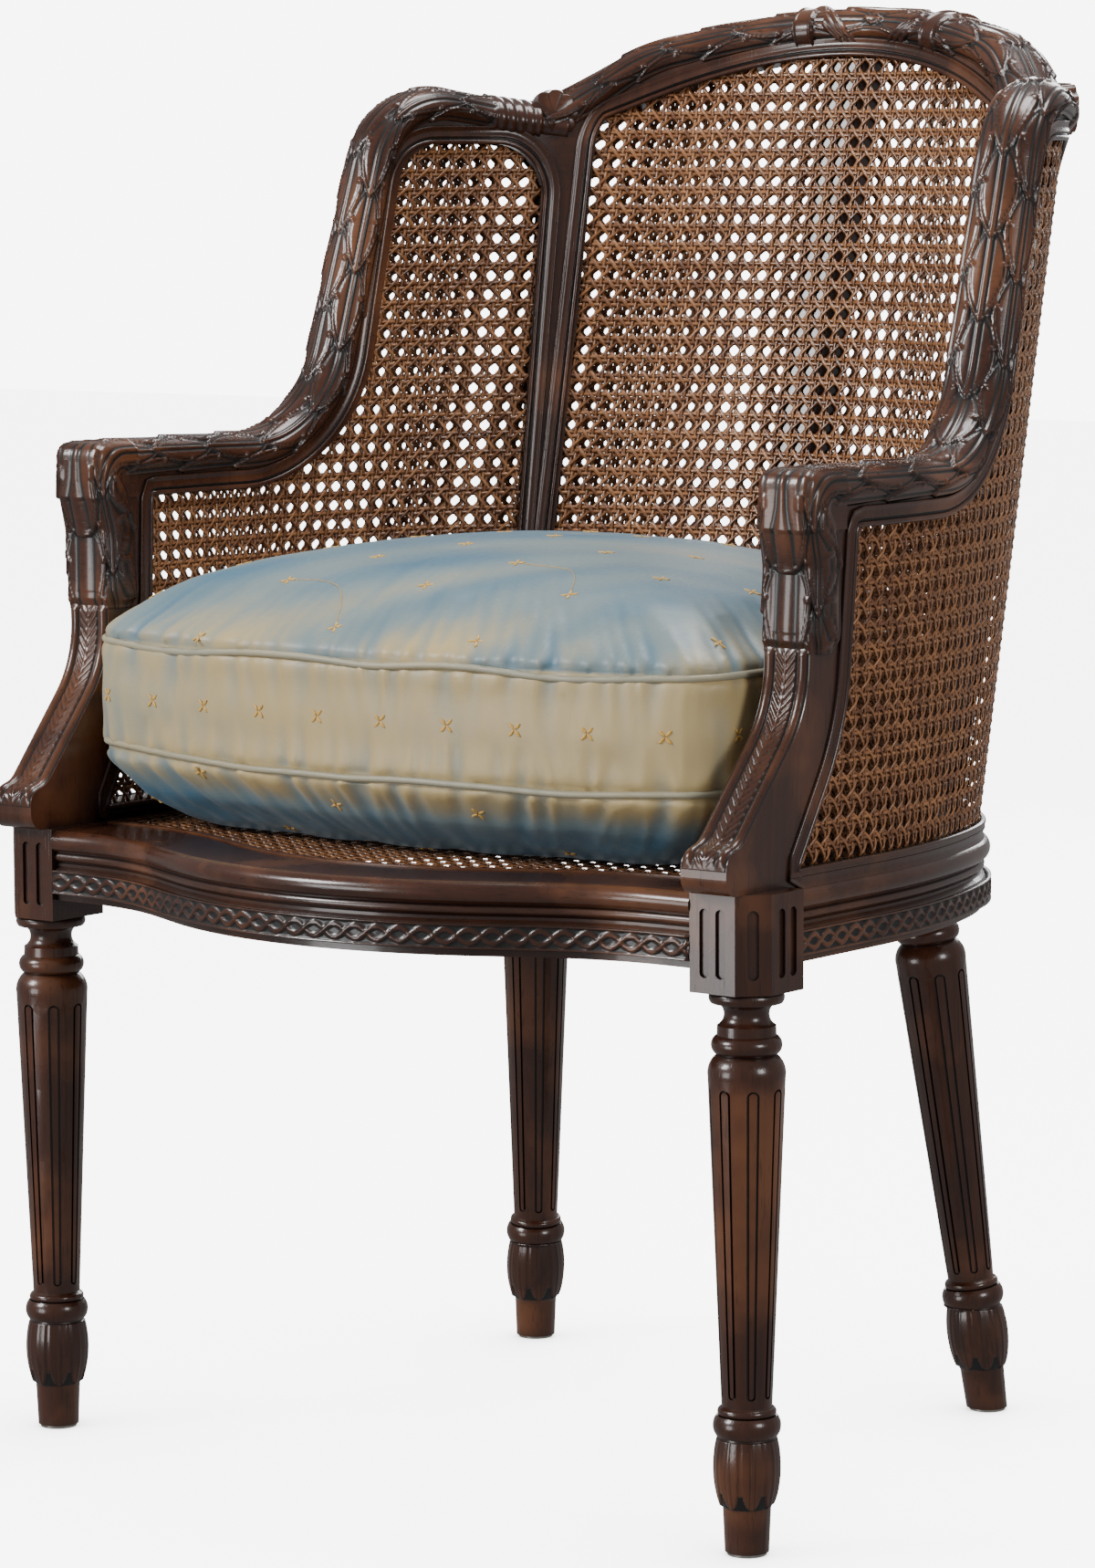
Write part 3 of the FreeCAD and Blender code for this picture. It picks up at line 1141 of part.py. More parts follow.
def cushion_form(skin):
    """Plump boxed cushion: flat where it rests, crowned above and below, boxing drawn in at both welts.

    skin is how far the form lies inside the outside of the cover.
    """
    low, high, crown = size("cushion_low"), size("cushion_high"), size("cushion_crown")
    rest = TOP - PLAY + size("cushion_rest")
    half, groove = size("cushion_half"), size("welt_radius") + size("welt_play")
    swell = size("cushion_bulge") / half
    seam = 1 - groove * 0.95 / half
    boxing = high - low
    levels = [(rest, 0.70), (rest + (low - rest) * 0.16, 0.82), (rest + (low - rest) * 0.40, 0.92),
              (rest + (low - rest) * 0.70, 0.975), (low - groove, 1.0), (low, seam), (low + groove, 1.0),
              (low + boxing * 0.25, 1 + swell * 0.75), (low + boxing * 0.5, 1 + swell),
              (low + boxing * 0.75, 1 + swell * 0.75), (high - groove, 1.0), (high, seam),
              (high + groove, 1.0)]
    for share in (0.97, 0.91, 0.80, 0.64, 0.44, 0.22, 0.05):
        rise = (1 - share ** 2.2) ** 0.62
        levels.append((high + groove + (crown - high - groove) * rise, share))
    shrink = 1 - skin / half
    middle = (low + high) / 2
    squash = 1 - skin / (crown - middle)
    wires = [cushion_plan(share * shrink, middle + (z - middle) * squash) for z, share in levels]
    return Part.makeLoft(wires, True, True)


def welt(level):
    """Closed piping round the cushion, nested in its seam."""
    path = cushion_plan(1 + size("welt_radius") * 0.55 / size("cushion_half"), level)
    start = path.Edges[1].Vertexes[0].Point
    tangent = path.Edges[1].tangentAt(path.Edges[1].FirstParameter)
    circle = Part.Wire(Part.Circle(start, tangent, size("welt_radius")).toShape())
    return path.makePipeShell([circle], True, False)


def feature(label, shape):
    """Sub-part whose shape comes from the tub's own geometry."""
    item = doc.addObject("Part::Feature", label)
    item.Shape = shape
    return item


def bored(label, stock, cuts):
    """Finished piece: the stock less the holes of its dowels and screws."""
    stock.Label = label + "_stock"
    drill = feature(label + "_holes", Part.makeCompound(cuts))
    piece = doc.addObject("Part::Cut", label)
    piece.Base = stock
    piece.Tool = drill
    return piece


def near(shape, cuts):
    """Those cuts whose boxes meet the piece."""
    return [cut for cut in cuts if shape.BoundBox.intersect(cut.BoundBox)]


hole_play = size("dowel_play")
dowels = {"rail_dowels": rail_dowels, "rear_leg_dowels": leg_dowels, "post_dowels": post_dowels,
          "stile_dowels": stile_dowels, "crest_dowels": crest_dowels}
holes = [hole for maker in dowels.values() for hole in maker(hole_play)]
screw_holes = block_screws(hole_play)

pieces = {}
stocks = {
    "front_left_leg": front_leg("front_left_leg_stick", -1),
    "front_right_leg": front_leg("front_right_leg_stick", 1),
    "rear_left_leg": rear_leg("rear_left_leg_round", -1),
    "rear_right_leg": rear_leg("rear_right_leg_round", 1),
    "front_seat_rail": front_rail("front_rail_stick"),
    "left_seat_rail": side_rail("left_rail_stick", -1),
    "right_seat_rail": side_rail("right_rail_stick", 1),
    "back_seat_rail": back_rail("back_rail_stick"),
}
doc.recompute()
for name, stock in stocks.items():
    drilled = near(stock.Shape, holes)
    if name.endswith("seat_rail"):
        drilled += near(stock.Shape, screw_holes)
    if name in ("left_seat_rail", "right_seat_rail"):
        drilled.append(stocks["front_seat_rail"].Shape)
    pieces[name] = bored(name, stock, drilled)

rail_shapes = [stocks[name].Shape for name in stocks if name.endswith("seat_rail")]
front_block, rear_block = [block.cut(rail_shapes).cut(screw_holes) for block in corner_blocks()]
pieces["front_corner_blocks"] = feature("front_corner_blocks", Part.makeCompound(both([front_block])))
pieces["rear_corner_blocks"] = feature("rear_corner_blocks", Part.makeCompound(both([rear_block])))
pieces["corner_block_screws"] = feature("corner_block_screws", Part.makeCompound(block_screws(0.0)))
for name, maker in dowels.items():
    pieces[name] = feature(name, Part.makeCompound(maker(0.0)))
pieces["foot_glides"] = feature("foot_glides", Part.makeCompound(glides()))

frame_cuts = grooves + holes
arm = arm_rail().cut(shell()).cut(frame_cuts)
post = arm_post().cut(frame_cuts)
upright = stile().cut(frame_cuts)
for side_name, turn in (("right", lambda shape: shape), ("left", mirrored)):
    pieces[side_name + "_arm_rail"] = feature(side_name + "_arm_rail", turn(arm))
    pieces[side_name + "_arm_post"] = feature(side_name + "_arm_post", turn(post))
    pieces[side_name + "_stile"] = feature(side_name + "_stile", turn(upright))
pieces["crest_rail"] = feature("crest_rail", crest_rail().cut(frame_cuts))
pieces["back_brace"] = feature("back_brace", back_brace())
for name, shape in panels.items():
    pieces[name] = feature(name, shape)
pieces["seat_cane"] = feature("seat_cane", seat_cane())
pieces["seat_binder"] = feature("seat_binder", seat_binder())

filling = cushion_form(size("cover_thick") + size("cover_play"))
pieces["cushion_filling"] = feature("cushion_filling", filling)
pieces["cushion_cover"] = feature("cushion_cover", cushion_form(0.0).cut(cushion_form(size("cover_thick"))))
pieces["cushion_lower_welt"] = feature("cushion_lower_welt", welt(size("cushion_low")))
pieces["cushion_upper_welt"] = feature("cushion_upper_welt", welt(size("cushion_high")))

doc.recompute()
extent = [piece.Shape.optimalBoundingBox(False) for piece in pieces.values()]
middle_of_depth = (min(box.YMin for box in extent) + max(box.YMax for box in extent)) / 2
for piece in pieces.values():
    piece.Placement = Placement(Vector(0, -middle_of_depth, 0), Rotation())
for item in doc.Objects:
    if "Invalid" in item.State or "Error" in item.State:
        raise RuntimeError("%s failed: %s" % (item.Name, item.State))
for name, piece in pieces.items():
    shape = piece.Shape
    if shape.isNull() or not shape.isValid():
        raise RuntimeError(name + " has no valid shape")
print("origin lies %.2f mm behind the front legs" % middle_of_depth)
for name, piece in pieces.items():
    piece.Label = name
    piece.Shape.exportStep("parts/%s.step" % name)
    box = piece.Shape.optimalBoundingBox(False)
    print("%-22s solids %d volume %9.0f  %s" % (name, len(piece.Shape.Solids), piece.Shape.Volume, [
        round(value, 1) for value in (box.XMin, box.XMax, box.YMin, box.YMax, box.ZMin, box.ZMax)]))
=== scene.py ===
import math

import bpy
import numpy as np
from mathutils import Matrix, Vector, noise
from mathutils.bvhtree import BVHTree


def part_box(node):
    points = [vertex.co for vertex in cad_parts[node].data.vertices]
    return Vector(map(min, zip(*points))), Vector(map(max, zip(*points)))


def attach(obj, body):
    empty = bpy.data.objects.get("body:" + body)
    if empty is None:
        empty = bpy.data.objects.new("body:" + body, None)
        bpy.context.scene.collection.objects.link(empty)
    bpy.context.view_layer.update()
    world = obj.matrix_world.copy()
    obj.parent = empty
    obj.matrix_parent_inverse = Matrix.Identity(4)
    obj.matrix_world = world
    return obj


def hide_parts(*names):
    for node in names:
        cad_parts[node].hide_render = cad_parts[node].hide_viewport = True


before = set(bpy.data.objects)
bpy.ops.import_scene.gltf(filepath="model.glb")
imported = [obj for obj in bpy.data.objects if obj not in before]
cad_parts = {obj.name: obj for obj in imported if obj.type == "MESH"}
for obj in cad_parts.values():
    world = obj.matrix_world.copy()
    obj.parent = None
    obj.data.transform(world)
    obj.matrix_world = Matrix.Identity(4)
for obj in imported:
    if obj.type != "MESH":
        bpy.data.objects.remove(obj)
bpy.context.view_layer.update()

# The four seat rails are mahogany, run with one moulding: bull-nose, second torus, hollow waist and a plain
# foot fillet. They are dowelled into the legs and braced by corner blocks. The carver cuts a band of two
# crossing ribbons, with a bead in every eye, into the flat between waist and fillet.
RAILS = ["front_seat_rail", "left_seat_rail", "right_seat_rail", "back_seat_rail"]
leg_low, leg_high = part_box("front_right_leg")
LEG_SPREAD = 0.288
LEG_LINE = (leg_low.y + leg_high.y) / 2
RAIL_TOP = leg_high.z
SEAT_CENTRE = (0.0, 0.190 + LEG_LINE)
WOOD_DARK = (0.0150, 0.0055, 0.0030, 1)
WOOD_RED = (0.074, 0.0225, 0.0105, 1)
WOOD_WARM = (0.150, 0.054, 0.0210, 1)
# Near-black for the glaze in the pores and for the painted shade in the recesses.
GLAZE_AND_SHADE = (0.0028, 0.0017, 0.0013, 1)


class Tone:
    """A value in a material; arithmetic on it adds Math nodes."""

    def __init__(self, tree, socket=None):
        self.tree = tree
        self.socket = socket

    def node(self, kind, settings=None, inputs=None, output=0):
        """Any node: its settings first, then the values or links of its sockets."""
        made = self.tree.nodes.new(kind)
        for name, value in (settings or {}).items():
            if name == "stops":
                ramp = made.color_ramp.elements
                for number, (place, colour) in enumerate(value):
                    stop = ramp[number] if number < 2 else ramp.new(place)
                    stop.position = place
                    stop.color = colour
            else:
                setattr(made, name, value)
        for name, value in (inputs or {}).items():
            if isinstance(value, Tone):
                self.tree.links.new(value.socket, made.inputs[name])
            else:
                made.inputs[name].default_value = value
        return Tone(self.tree, made.outputs[output] if made.outputs else None)

    def maths(self, operation, *values):
        return self.node("ShaderNodeMath", {"operation": operation}, dict(enumerate(values)))

    def __add__(self, other):
        return self.maths("ADD", self, other)

    def __sub__(self, other):
        return self.maths("SUBTRACT", self, other)

    def __rsub__(self, other):
        return self.maths("SUBTRACT", other, self)

    def __mul__(self, other):
        return self.maths("MULTIPLY", self, other)

    __radd__ = __add__
    __rmul__ = __mul__

    def between(self, low, high):
        """0 below low, 1 above high, and a straight climb between."""
        return self.node("ShaderNodeMapRange", {"clamp": True},
                         {"Value": self, "From Min": low, "From Max": high})

    def blend(self, first, second):
        """The first colour where this value is 0, the second where it is 1."""
        return self.node("ShaderNodeMix", {"data_type": "RGBA"}, {0: self, 6: first, 7: second}, 2)

    def scaled(self, stretch):
        """This place, stretched along X, Y and Z."""
        return self.node("ShaderNodeVectorMath", {"operation": "MULTIPLY"}, {0: self, 1: stretch})

    def cloud(self, scale, detail=3.0, rough=0.5):
        """Soft noise at this place."""
        return self.node("ShaderNodeTexNoise", None,
                         {"Vector": self, "Scale": scale, "Detail": detail, "Roughness": rough})

    def bump(self, strength, distance):
        """The normal of a surface whose height is this value."""
        return self.node("ShaderNodeBump", None,
                         {"Strength": strength, "Distance": distance, "Height": self})

    def own_place(self):
        """The place on the piece itself."""
        return self.node("ShaderNodeTexCoord", output="Object")

    def painted(self, name):
        """The value painted on the piece's points under a name."""
        return self.node("ShaderNodeAttribute", {"attribute_name": name}, output="Fac")

    def open_air(self, distance, samples):
        """How open the surface is: 1 in the open, less in a corner or a groove."""
        return self.node("ShaderNodeAmbientOcclusion", {"samples": samples}, {"Distance": distance}, "AO")


def new_material(name):
    """An empty material and the start of its tree."""
    material = bpy.data.materials.new(name)
    material.use_nodes = True
    material.node_tree.nodes.clear()
    return material, Tone(material.node_tree)


def surface(start, inputs):
    """The shader and its output."""
    shader = start.node("ShaderNodeBsdfPrincipled", None, inputs)
    start.node("ShaderNodeOutputMaterial", None, {"Surface": shader})


def mahogany(name, stretch):
    """Lacquered mahogany, painted shade over glaze in its recesses; fibres run along the least stretch."""
    material, start = new_material(name)
    place = start.own_place()
    fibre = place.scaled(stretch).cloud(1.0, 6.0, 0.62)
    figure = place.cloud(11.0, 4.0)
    pores = place.scaled([step * 5 for step in stretch]).cloud(1.0, 2.0).between(0.60, 0.70)
    # Painted shade: darker wherever ambient occlusion finds the surface shut in.
    painted_shut_in_shade = (1 - start.open_air(0.010, 4)).between(0.10, 0.62)
    hollow = (painted_shut_in_shade * 0.85 + start.painted("carving").between(0.25, 0.95)).between(0.0, 1.0)
    wood = (fibre * 0.5 + figure * 0.5).between(0.24, 0.74).blend(WOOD_DARK, WOOD_RED)
    wood = figure.between(0.50, 0.72).blend(wood, WOOD_WARM)
    wood = (pores * 0.45).blend(wood, GLAZE_AND_SHADE)
    # Painted shade over glaze: near-black in the carved recesses and wherever the surface is shut in.
    wood = hollow.blend(wood, GLAZE_AND_SHADE)
    surface(start, {"Base Color": wood, "Roughness": figure * 0.14 + hollow * 0.20 + 0.20,
                    "Normal": (fibre * 0.6 - pores * 0.4).bump(0.25, 0.0004),
                    "Coat Weight": 0.30, "Coat Roughness": 0.10, "Specular IOR Level": 0.40})
    return material


def dress(nodes, material):
    """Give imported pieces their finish."""
    for node in nodes:
        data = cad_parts[node].data
        data.materials.clear()
        data.materials.append(material)
        data.polygons.foreach_set("use_smooth", np.ones(len(data.polygons), bool))


LEVEL_WOOD = mahogany("mahogany_level", (26.0, 26.0, 160.0))
dress(RAILS + ["front_corner_blocks", "rear_corner_blocks", "rail_dowels"], LEVEL_WOOD)


def skin_piece(name, points, corners, starts, material, body):
    """A piece from its points, the point at every corner of its faces, and where each face starts."""
    mesh = bpy.data.meshes.new(name)
    mesh.vertices.add(points.size // 3)
    mesh.vertices.foreach_set("co", points.astype(np.float32).ravel())
    mesh.loops.add(len(corners))
    mesh.loops.foreach_set("vertex_index", corners)
    mesh.polygons.add(len(starts))
    mesh.polygons.foreach_set("loop_start", starts)
    mesh.polygons.foreach_set("use_smooth", np.ones(len(starts), bool))
    mesh.update(calc_edges=True)
    mesh.materials.append(material)
    piece = bpy.data.objects.new(name, mesh)
    bpy.context.scene.collection.objects.link(piece)
    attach(piece, body)
    return piece


def paint(piece, name, values):
    """One value on every point of a piece, for its material to read."""
    layer = piece.data.attributes.new(name, "FLOAT", "POINT")
    layer.data.foreach_set("value", np.asarray(values, np.float32).ravel())


def tube_mesh(name, rings, material, depth=None, looped=False, body="frame"):
    """Closed skins over rings (..., rings, points, 3); depth is the carving's recess at each point."""
    rings = np.asarray(rings, float)
    count, around = rings.shape[-3:-1]
    index = np.arange(rings.size // 3).reshape(-1, count, around)
    rows = np.concatenate([index, index[:, :1]], 1) if looped else index
    rows = np.concatenate([rows, rows[..., :1]], 2)
    quads = np.stack([rows[:, :-1, :-1], rows[:, :-1, 1:], rows[:, 1:, 1:], rows[:, 1:, :-1]], -1)
    corners = quads.ravel()
    starts = np.arange(0, quads.size, 4)
    if not looped:
        caps = np.concatenate([index[:, 0, ::-1], index[:, -1]])
        starts = np.concatenate([starts, quads.size + around * np.arange(len(caps))])
        corners = np.concatenate([corners, caps.ravel()])
    piece = skin_piece(name, rings, corners, starts, material, body)
    if depth is not None:
        paint(piece, "carving", depth)
    return piece


def unit(vectors):
    """The same directions with length one."""
    return vectors / np.linalg.norm(vectors, axis=-1)[..., None]


def eased(value):
    """A smooth climb from 0 to 1."""
    value = np.clip(value, 0.0, 1.0)
    return value * value * (3 - 2 * value)


def nearest(place, period):
    """Distance, with its sign, to the nearest of marks that stand a period apart."""
    return (place + period / 2) % period - period / 2


def travel(line):
    """Distance run along a line to each of its points."""
    return np.concatenate([[0.0], np.cumsum(np.linalg.norm(np.diff(line, axis=0), axis=1))])


def evenly(line, step):
    """The same line with points a steady step apart."""
    run = travel(line)
    places = np.linspace(0, run[-1], max(2, int(round(run[-1] / step)) + 1))
    return np.stack([np.interp(places, run, line[:, axis]) for axis in range(line.shape[1])], -1)


def solid_tree(nodes):
    """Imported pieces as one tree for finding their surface."""
    places, faces = [], []
    for node in nodes:
        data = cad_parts[node].data
        base = len(places)
        places += [vertex.co.copy() for vertex in data.vertices]
        faces += [[base + corner for corner in polygon.vertices] for polygon in data.polygons]
    return BVHTree.FromPolygons(places, faces)


RAY_REACH = 0.6


def cut_round(tree, level, count):
    """Points where level rays from the middle of the seat last leave a solid."""
    points = []
    for turn in np.linspace(0, 2 * np.pi, count, endpoint=False):
        way = Vector((math.cos(turn), math.sin(turn), 0))
        hit = tree.ray_cast(Vector((*SEAT_CENTRE, level)) + way * RAY_REACH, -way, RAY_REACH)[0]
        points.append(hit[:])
    return np.array(points)


RELIEF_CLEAR, RELIEF_SUNK = 0.0003, 0.0014


def relief(name, surface_points, outward, rise, recess, material):
    """Carving over surface points (rows, points, 3), closed a little way inside the piece."""
    front = surface_points + outward * (rise + RELIEF_CLEAR)[..., None]
    behind = (surface_points - outward * RELIEF_SUNK)[:, ::-1]
    depth = np.concatenate([recess, np.ones(recess.shape)], 1)
    return tube_mesh(name, np.concatenate([front, behind], 1), material, depth)


BAND_TOP, BAND_LOW = RAIL_TOP - 0.0272, RAIL_TOP - 0.0428
BAND_MIDDLE = (BAND_TOP + BAND_LOW) / 2
BAND_STEP, BAND_LEVELS = 0.0012, 23
FILLET_INNER, FILLET_RISE = 0.0062, 0.0013
RIBBON_WAVE, RIBBON_SWING, RIBBON_HALF, RIBBON_RISE = 0.030, 0.0042, 0.0019, 0.0017
EYE_BEAD = 0.0015
CUT_EDGE, CUT_DARK = 0.0006, 0.0008
DIE_HALF, DIE_CLEAR = 0.0255, 0.001
FRONT_BOW = 0.03


def ribbon_band(name, line):
    """Two ribbons that cross in waves between two fillets, with a bead in every eye."""
    outward = unit(np.cross(np.gradient(line, axis=0), [0, 0, 1.0]))
    levels = np.linspace(BAND_LOW, BAND_TOP, BAND_LEVELS)
    spots = np.repeat(line[:, None], BAND_LEVELS, 1)
    spots[..., 2] = levels
    run = travel(line)[:, None]
    wave = run[-1, 0] / round(run[-1, 0] / RIBBON_WAVE)
    phase = 2 * np.pi * run / wave
    up = levels[None] - BAND_MIDDLE
    rise = FILLET_RISE * eased((np.abs(up) - FILLET_INNER) / CUT_EDGE)
    for way in (-1, 1):
        off = np.abs(up - way * RIBBON_SWING * np.sin(phase))
        over_under = RIBBON_RISE * (0.8 + 0.2 * way * np.cos(phase))
        dished = 0.75 + 0.25 * (off / RIBBON_HALF) ** 2
        rise = np.maximum(rise, over_under * eased((RIBBON_HALF - off) / CUT_EDGE) * dished)
    from_eye = nearest(run, wave / 2) ** 2 + up ** 2
    rise = np.maximum(rise, np.sqrt(np.maximum(EYE_BEAD ** 2 - from_eye, 0)))
    outward = np.repeat(outward[:, None], BAND_LEVELS, 1)
    relief(name, spots, outward, rise, np.clip(1 - rise / CUT_DARK, 0, 1), LEVEL_WOOD)


band_line = cut_round(solid_tree(RAILS), BAND_MIDDLE, 2400)
before_legs = band_line[:, 1] < LEG_LINE + FRONT_BOW
between_legs = np.abs(band_line[:, 0]) < LEG_SPREAD - DIE_HALF
behind_legs = band_line[:, 1] > LEG_LINE + DIE_HALF + DIE_CLEAR
for name, kept in (("front_rail_ribbon", before_legs & between_legs), ("tub_rail_ribbon", behind_legs)):
    order = np.nonzero(kept)[0]
    breaks = np.nonzero(np.diff(order) > 1)[0]
    if len(breaks):
        order = np.concatenate([order[breaks[0] + 1:], order[:breaks[0] + 1]])
    ribbon_band(name, evenly(band_line[order], BAND_STEP))

# The legs are turned and fluted in mahogany; the front pair stands upright under square dies and the rear
# pair is raked. Each foot is carved as a lotus bud, with tips of a second row between the front petals. A
# row is given by its turn in petals, where it begins up the bud, and how far it stands out.
LEGS = ["front_left_leg", "front_right_leg", "rear_left_leg", "rear_right_leg"]
REAR_FOOT, REAR_RAKE, RAKE_HEIGHT = (0.1964, 0.4152), (0.0310, 0.0372), 0.366
PETALS = 8
PETAL_FOOT, PETAL_TOP = 0.0305, 0.0735
PETAL_BACK_ROW, PETAL_FRONT_ROW = (0.5, 0.22, 0.0009), (0.0, 0.0, 0.0016)
PETAL_SWELL, PETAL_WIDE = 0.42, 0.47
PETAL_EDGE, PETAL_RIB = 0.05, 0.05
PETAL_VEIN, PETAL_VEIN_HALF = 0.11, 0.035
PETAL_CLEAR, PETAL_DARK = 0.0002, 0.0006
FOOT_REACH = 0.04

UPRIGHT_WOOD = mahogany("mahogany_upright", (130.0, 130.0, 7.0))
dress(LEGS, UPRIGHT_WOOD)
dress(["rear_leg_dowels"], LEVEL_WOOD)


def leg_centre(leg, level):
    """The middle of a leg at a height."""
    side = 1 if "right" in leg else -1
    if "front" in leg:
        return Vector((side * LEG_SPREAD, LEG_LINE, level))
    rise = level / RAKE_HEIGHT
    across, along = (foot - rake * rise for foot, rake in zip(REAR_FOOT, REAR_RAKE))
    return Vector((side * across, along + LEG_LINE, level))


def ridge(off, half):
    """A soft ridge: 1 on its line and nearly nothing two half widths away."""
    return np.exp(-(off / half) ** 2)


turn = np.linspace(0, 2 * np.pi, 160, endpoint=False)
ways = np.column_stack([np.cos(turn), np.sin(turn), turn * 0])
levels = np.linspace(PETAL_FOOT, PETAL_TOP, 54)
climb = np.linspace(0, 1, len(levels))[:, None]
rise, recess = np.zeros((len(levels), len(turn))), np.ones((len(levels), len(turn)))
for stagger, begin, lift in (PETAL_BACK_ROW, PETAL_FRONT_ROW):
    off = np.abs(nearest(turn * PETALS / (2 * np.pi) + stagger, 1))[None]
    reach = np.clip((climb - begin) / PETAL_SWELL, 0, 1)
    half = PETAL_WIDE * np.sqrt(np.maximum(1 - (1 - reach) ** 2, 0)) + 1e-6
    inside = eased((half - off) / PETAL_EDGE) * (climb >= begin)
    dished = 0.62 + 0.38 * np.minimum(off / half, 1) ** 2 + 0.35 * ridge(off, PETAL_RIB)
    petal = lift * (1 - 0.35 * climb) * dished * inside
    # The petal veins are painted shade: dark lines with no groove cut under them.
    recess = np.where(petal > rise, 0.75 * ridge(off - PETAL_VEIN, PETAL_VEIN_HALF) * inside, recess)
    rise = np.maximum(rise, petal)
recess = np.maximum(recess, np.clip(1 - rise / PETAL_DARK, 0, 1))
for leg in LEGS:
    tree = solid_tree([leg])
    rows = []
    for level in levels:
        middle = leg_centre(leg, level)
        rows.append([tree.ray_cast(middle + Vector(way) * FOOT_REACH, -Vector(way), FOOT_REACH)[0][:]
                     for way in ways])
    tube_mesh(leg + "_lotus", np.array(rows) + ways * (rise + PETAL_CLEAR)[..., None], UPRIGHT_WOOD, recess)

# The tub is one curved wall: straight sides, a long side arc, a corner arc and a shallow back, flaring as
# it rises. Everything above the rails is set out on its middle surface, so its plan is worked out here,
# by the distance run round the wall from the middle of the back (positive to the right) and the height.
SIDE_STRAIGHT = 0.120
SIDE_FLARE = 0.0277
HALF_WIDTH = 0.284
BACK_DEPTH, BACK_LEAN = 0.293, 0.25
CORNER_RADIUS, CORNER_SPREAD = 0.185, 0.0275
SIDE_TURN, CORNER_TURN, BACK_TURN = (math.radians(turn) for turn in (20, 62, 90))
MEASURED_AT = 0.65
WALL_END = 0.75
SILL = RAIL_TOP + 0.010


def tub_radii(height):
    """Half width, and the radii of the side, corner and back arcs at a height."""
    rise = height - RAIL_TOP
    half = HALF_WIDTH + SIDE_FLARE * rise
    corner = CORNER_RADIUS + CORNER_SPREAD * rise
    across = half - corner * (math.cos(SIDE_TURN) - math.cos(CORNER_TURN))
    along = BACK_DEPTH + BACK_LEAN * rise - corner * (math.sin(CORNER_TURN) - math.sin(SIDE_TURN))
    spread = ((1 - math.cos(SIDE_TURN)) * (1 - math.sin(CORNER_TURN))
              - math.cos(CORNER_TURN) * math.sin(SIDE_TURN))
    side = (across * (1 - math.sin(CORNER_TURN)) - math.cos(CORNER_TURN) * along) / spread
    back = ((1 - math.cos(SIDE_TURN)) * along - math.sin(SIDE_TURN) * across) / spread
    return half, side, corner, back


def wall(run, height, out=0.0):
    """Points of the wall at a run round it, a height and a distance out from its middle surface."""
    run, height, out = np.broadcast_arrays(np.asarray(run, float), height, out)
    _, side, corner, back = tub_radii(MEASURED_AT)
    ends = np.cumsum([back * (BACK_TURN - CORNER_TURN), corner * (CORNER_TURN - SIDE_TURN),
                      side * SIDE_TURN])
    reach = np.abs(run)
    bearing = np.interp(reach, np.concatenate([[0.0], ends]), [BACK_TURN, CORNER_TURN, SIDE_TURN, 0.0])
    ahead = np.maximum(reach - ends[-1], 0.0)
    half, side, corner, back = tub_radii(height)
    first = np.minimum(bearing, SIDE_TURN)
    second = np.clip(bearing, SIDE_TURN, CORNER_TURN)
    third = np.clip(bearing, CORNER_TURN, BACK_TURN)
    x = (half - side * (1 - np.cos(first)) - corner * (math.cos(SIDE_TURN) - np.cos(second))
         - back * (math.cos(CORNER_TURN) - np.cos(third)) + out * np.cos(bearing))
    y = (SIDE_STRAIGHT + side * np.sin(first) + corner * (np.sin(second) - math.sin(SIDE_TURN))
         + back * (np.sin(third) - math.sin(CORNER_TURN)) - ahead + out * np.sin(bearing))
    return np.stack([x * np.where(run < 0, -1.0, 1.0), y + LEG_LINE, height], -1)


DEPTHWISE = (0.0, 1.0)
ACROSS = (-1.0, 0.0)
STILE_BEARING = math.radians(50)
STILEWISE = (-math.sin(STILE_BEARING), math.cos(STILE_BEARING))


def measured(spots, direction):
    """How far places lie along a level direction, from the leg line."""
    return spots[..., 0] * direction[0] + (spots[..., 1] - LEG_LINE) * direction[1]


def run_at(place, height, direction):
    """Run on the right side where the wall lies at a place along a level direction."""
    place, height = np.broadcast_arrays(np.asarray(place, float), height)
    low, high = np.zeros(place.shape), np.full(place.shape, WALL_END)
    for _ in range(34):
        middle = (low + high) / 2
        past = measured(wall(middle, height), direction) < place
        low, high = np.where(past, low, middle), np.where(past, middle, high)
    return (low + high) / 2


# The two arm posts are mahogany, swept forward to a scroll and dowelled on the front legs. Down the front
# of each the carver cuts a strip of feathered husks with a reed at each edge.
HUSK_TOP, HUSK_LOW, HUSK_LEVELS = 0.5600, 0.4300, 190
POST_FRONT = 0.04
STRIP_HALF, STRIP_COLUMNS = 0.0163, 45
BARB_STEP, BARB_SLOPE, BARB_RISE = 0.0062, 1.3, 0.0013
HUSK_HALF, HUSK_BASE, HUSK_RIB, HUSK_RIB_HALF = 0.0078, 0.0004, 0.0019, 0.0012
REED_OUT, REED_RADIUS, REED_FLAT = 0.0123, 0.0030, 0.75
HUSK_FADES = (0.006, 0.010)
HUSK_EDGE, HUSK_DARK = 0.0085, 0.0007

dress(["left_arm_post", "right_arm_post"], UPRIGHT_WOOD)
dress(["post_dowels"], LEVEL_WOOD)

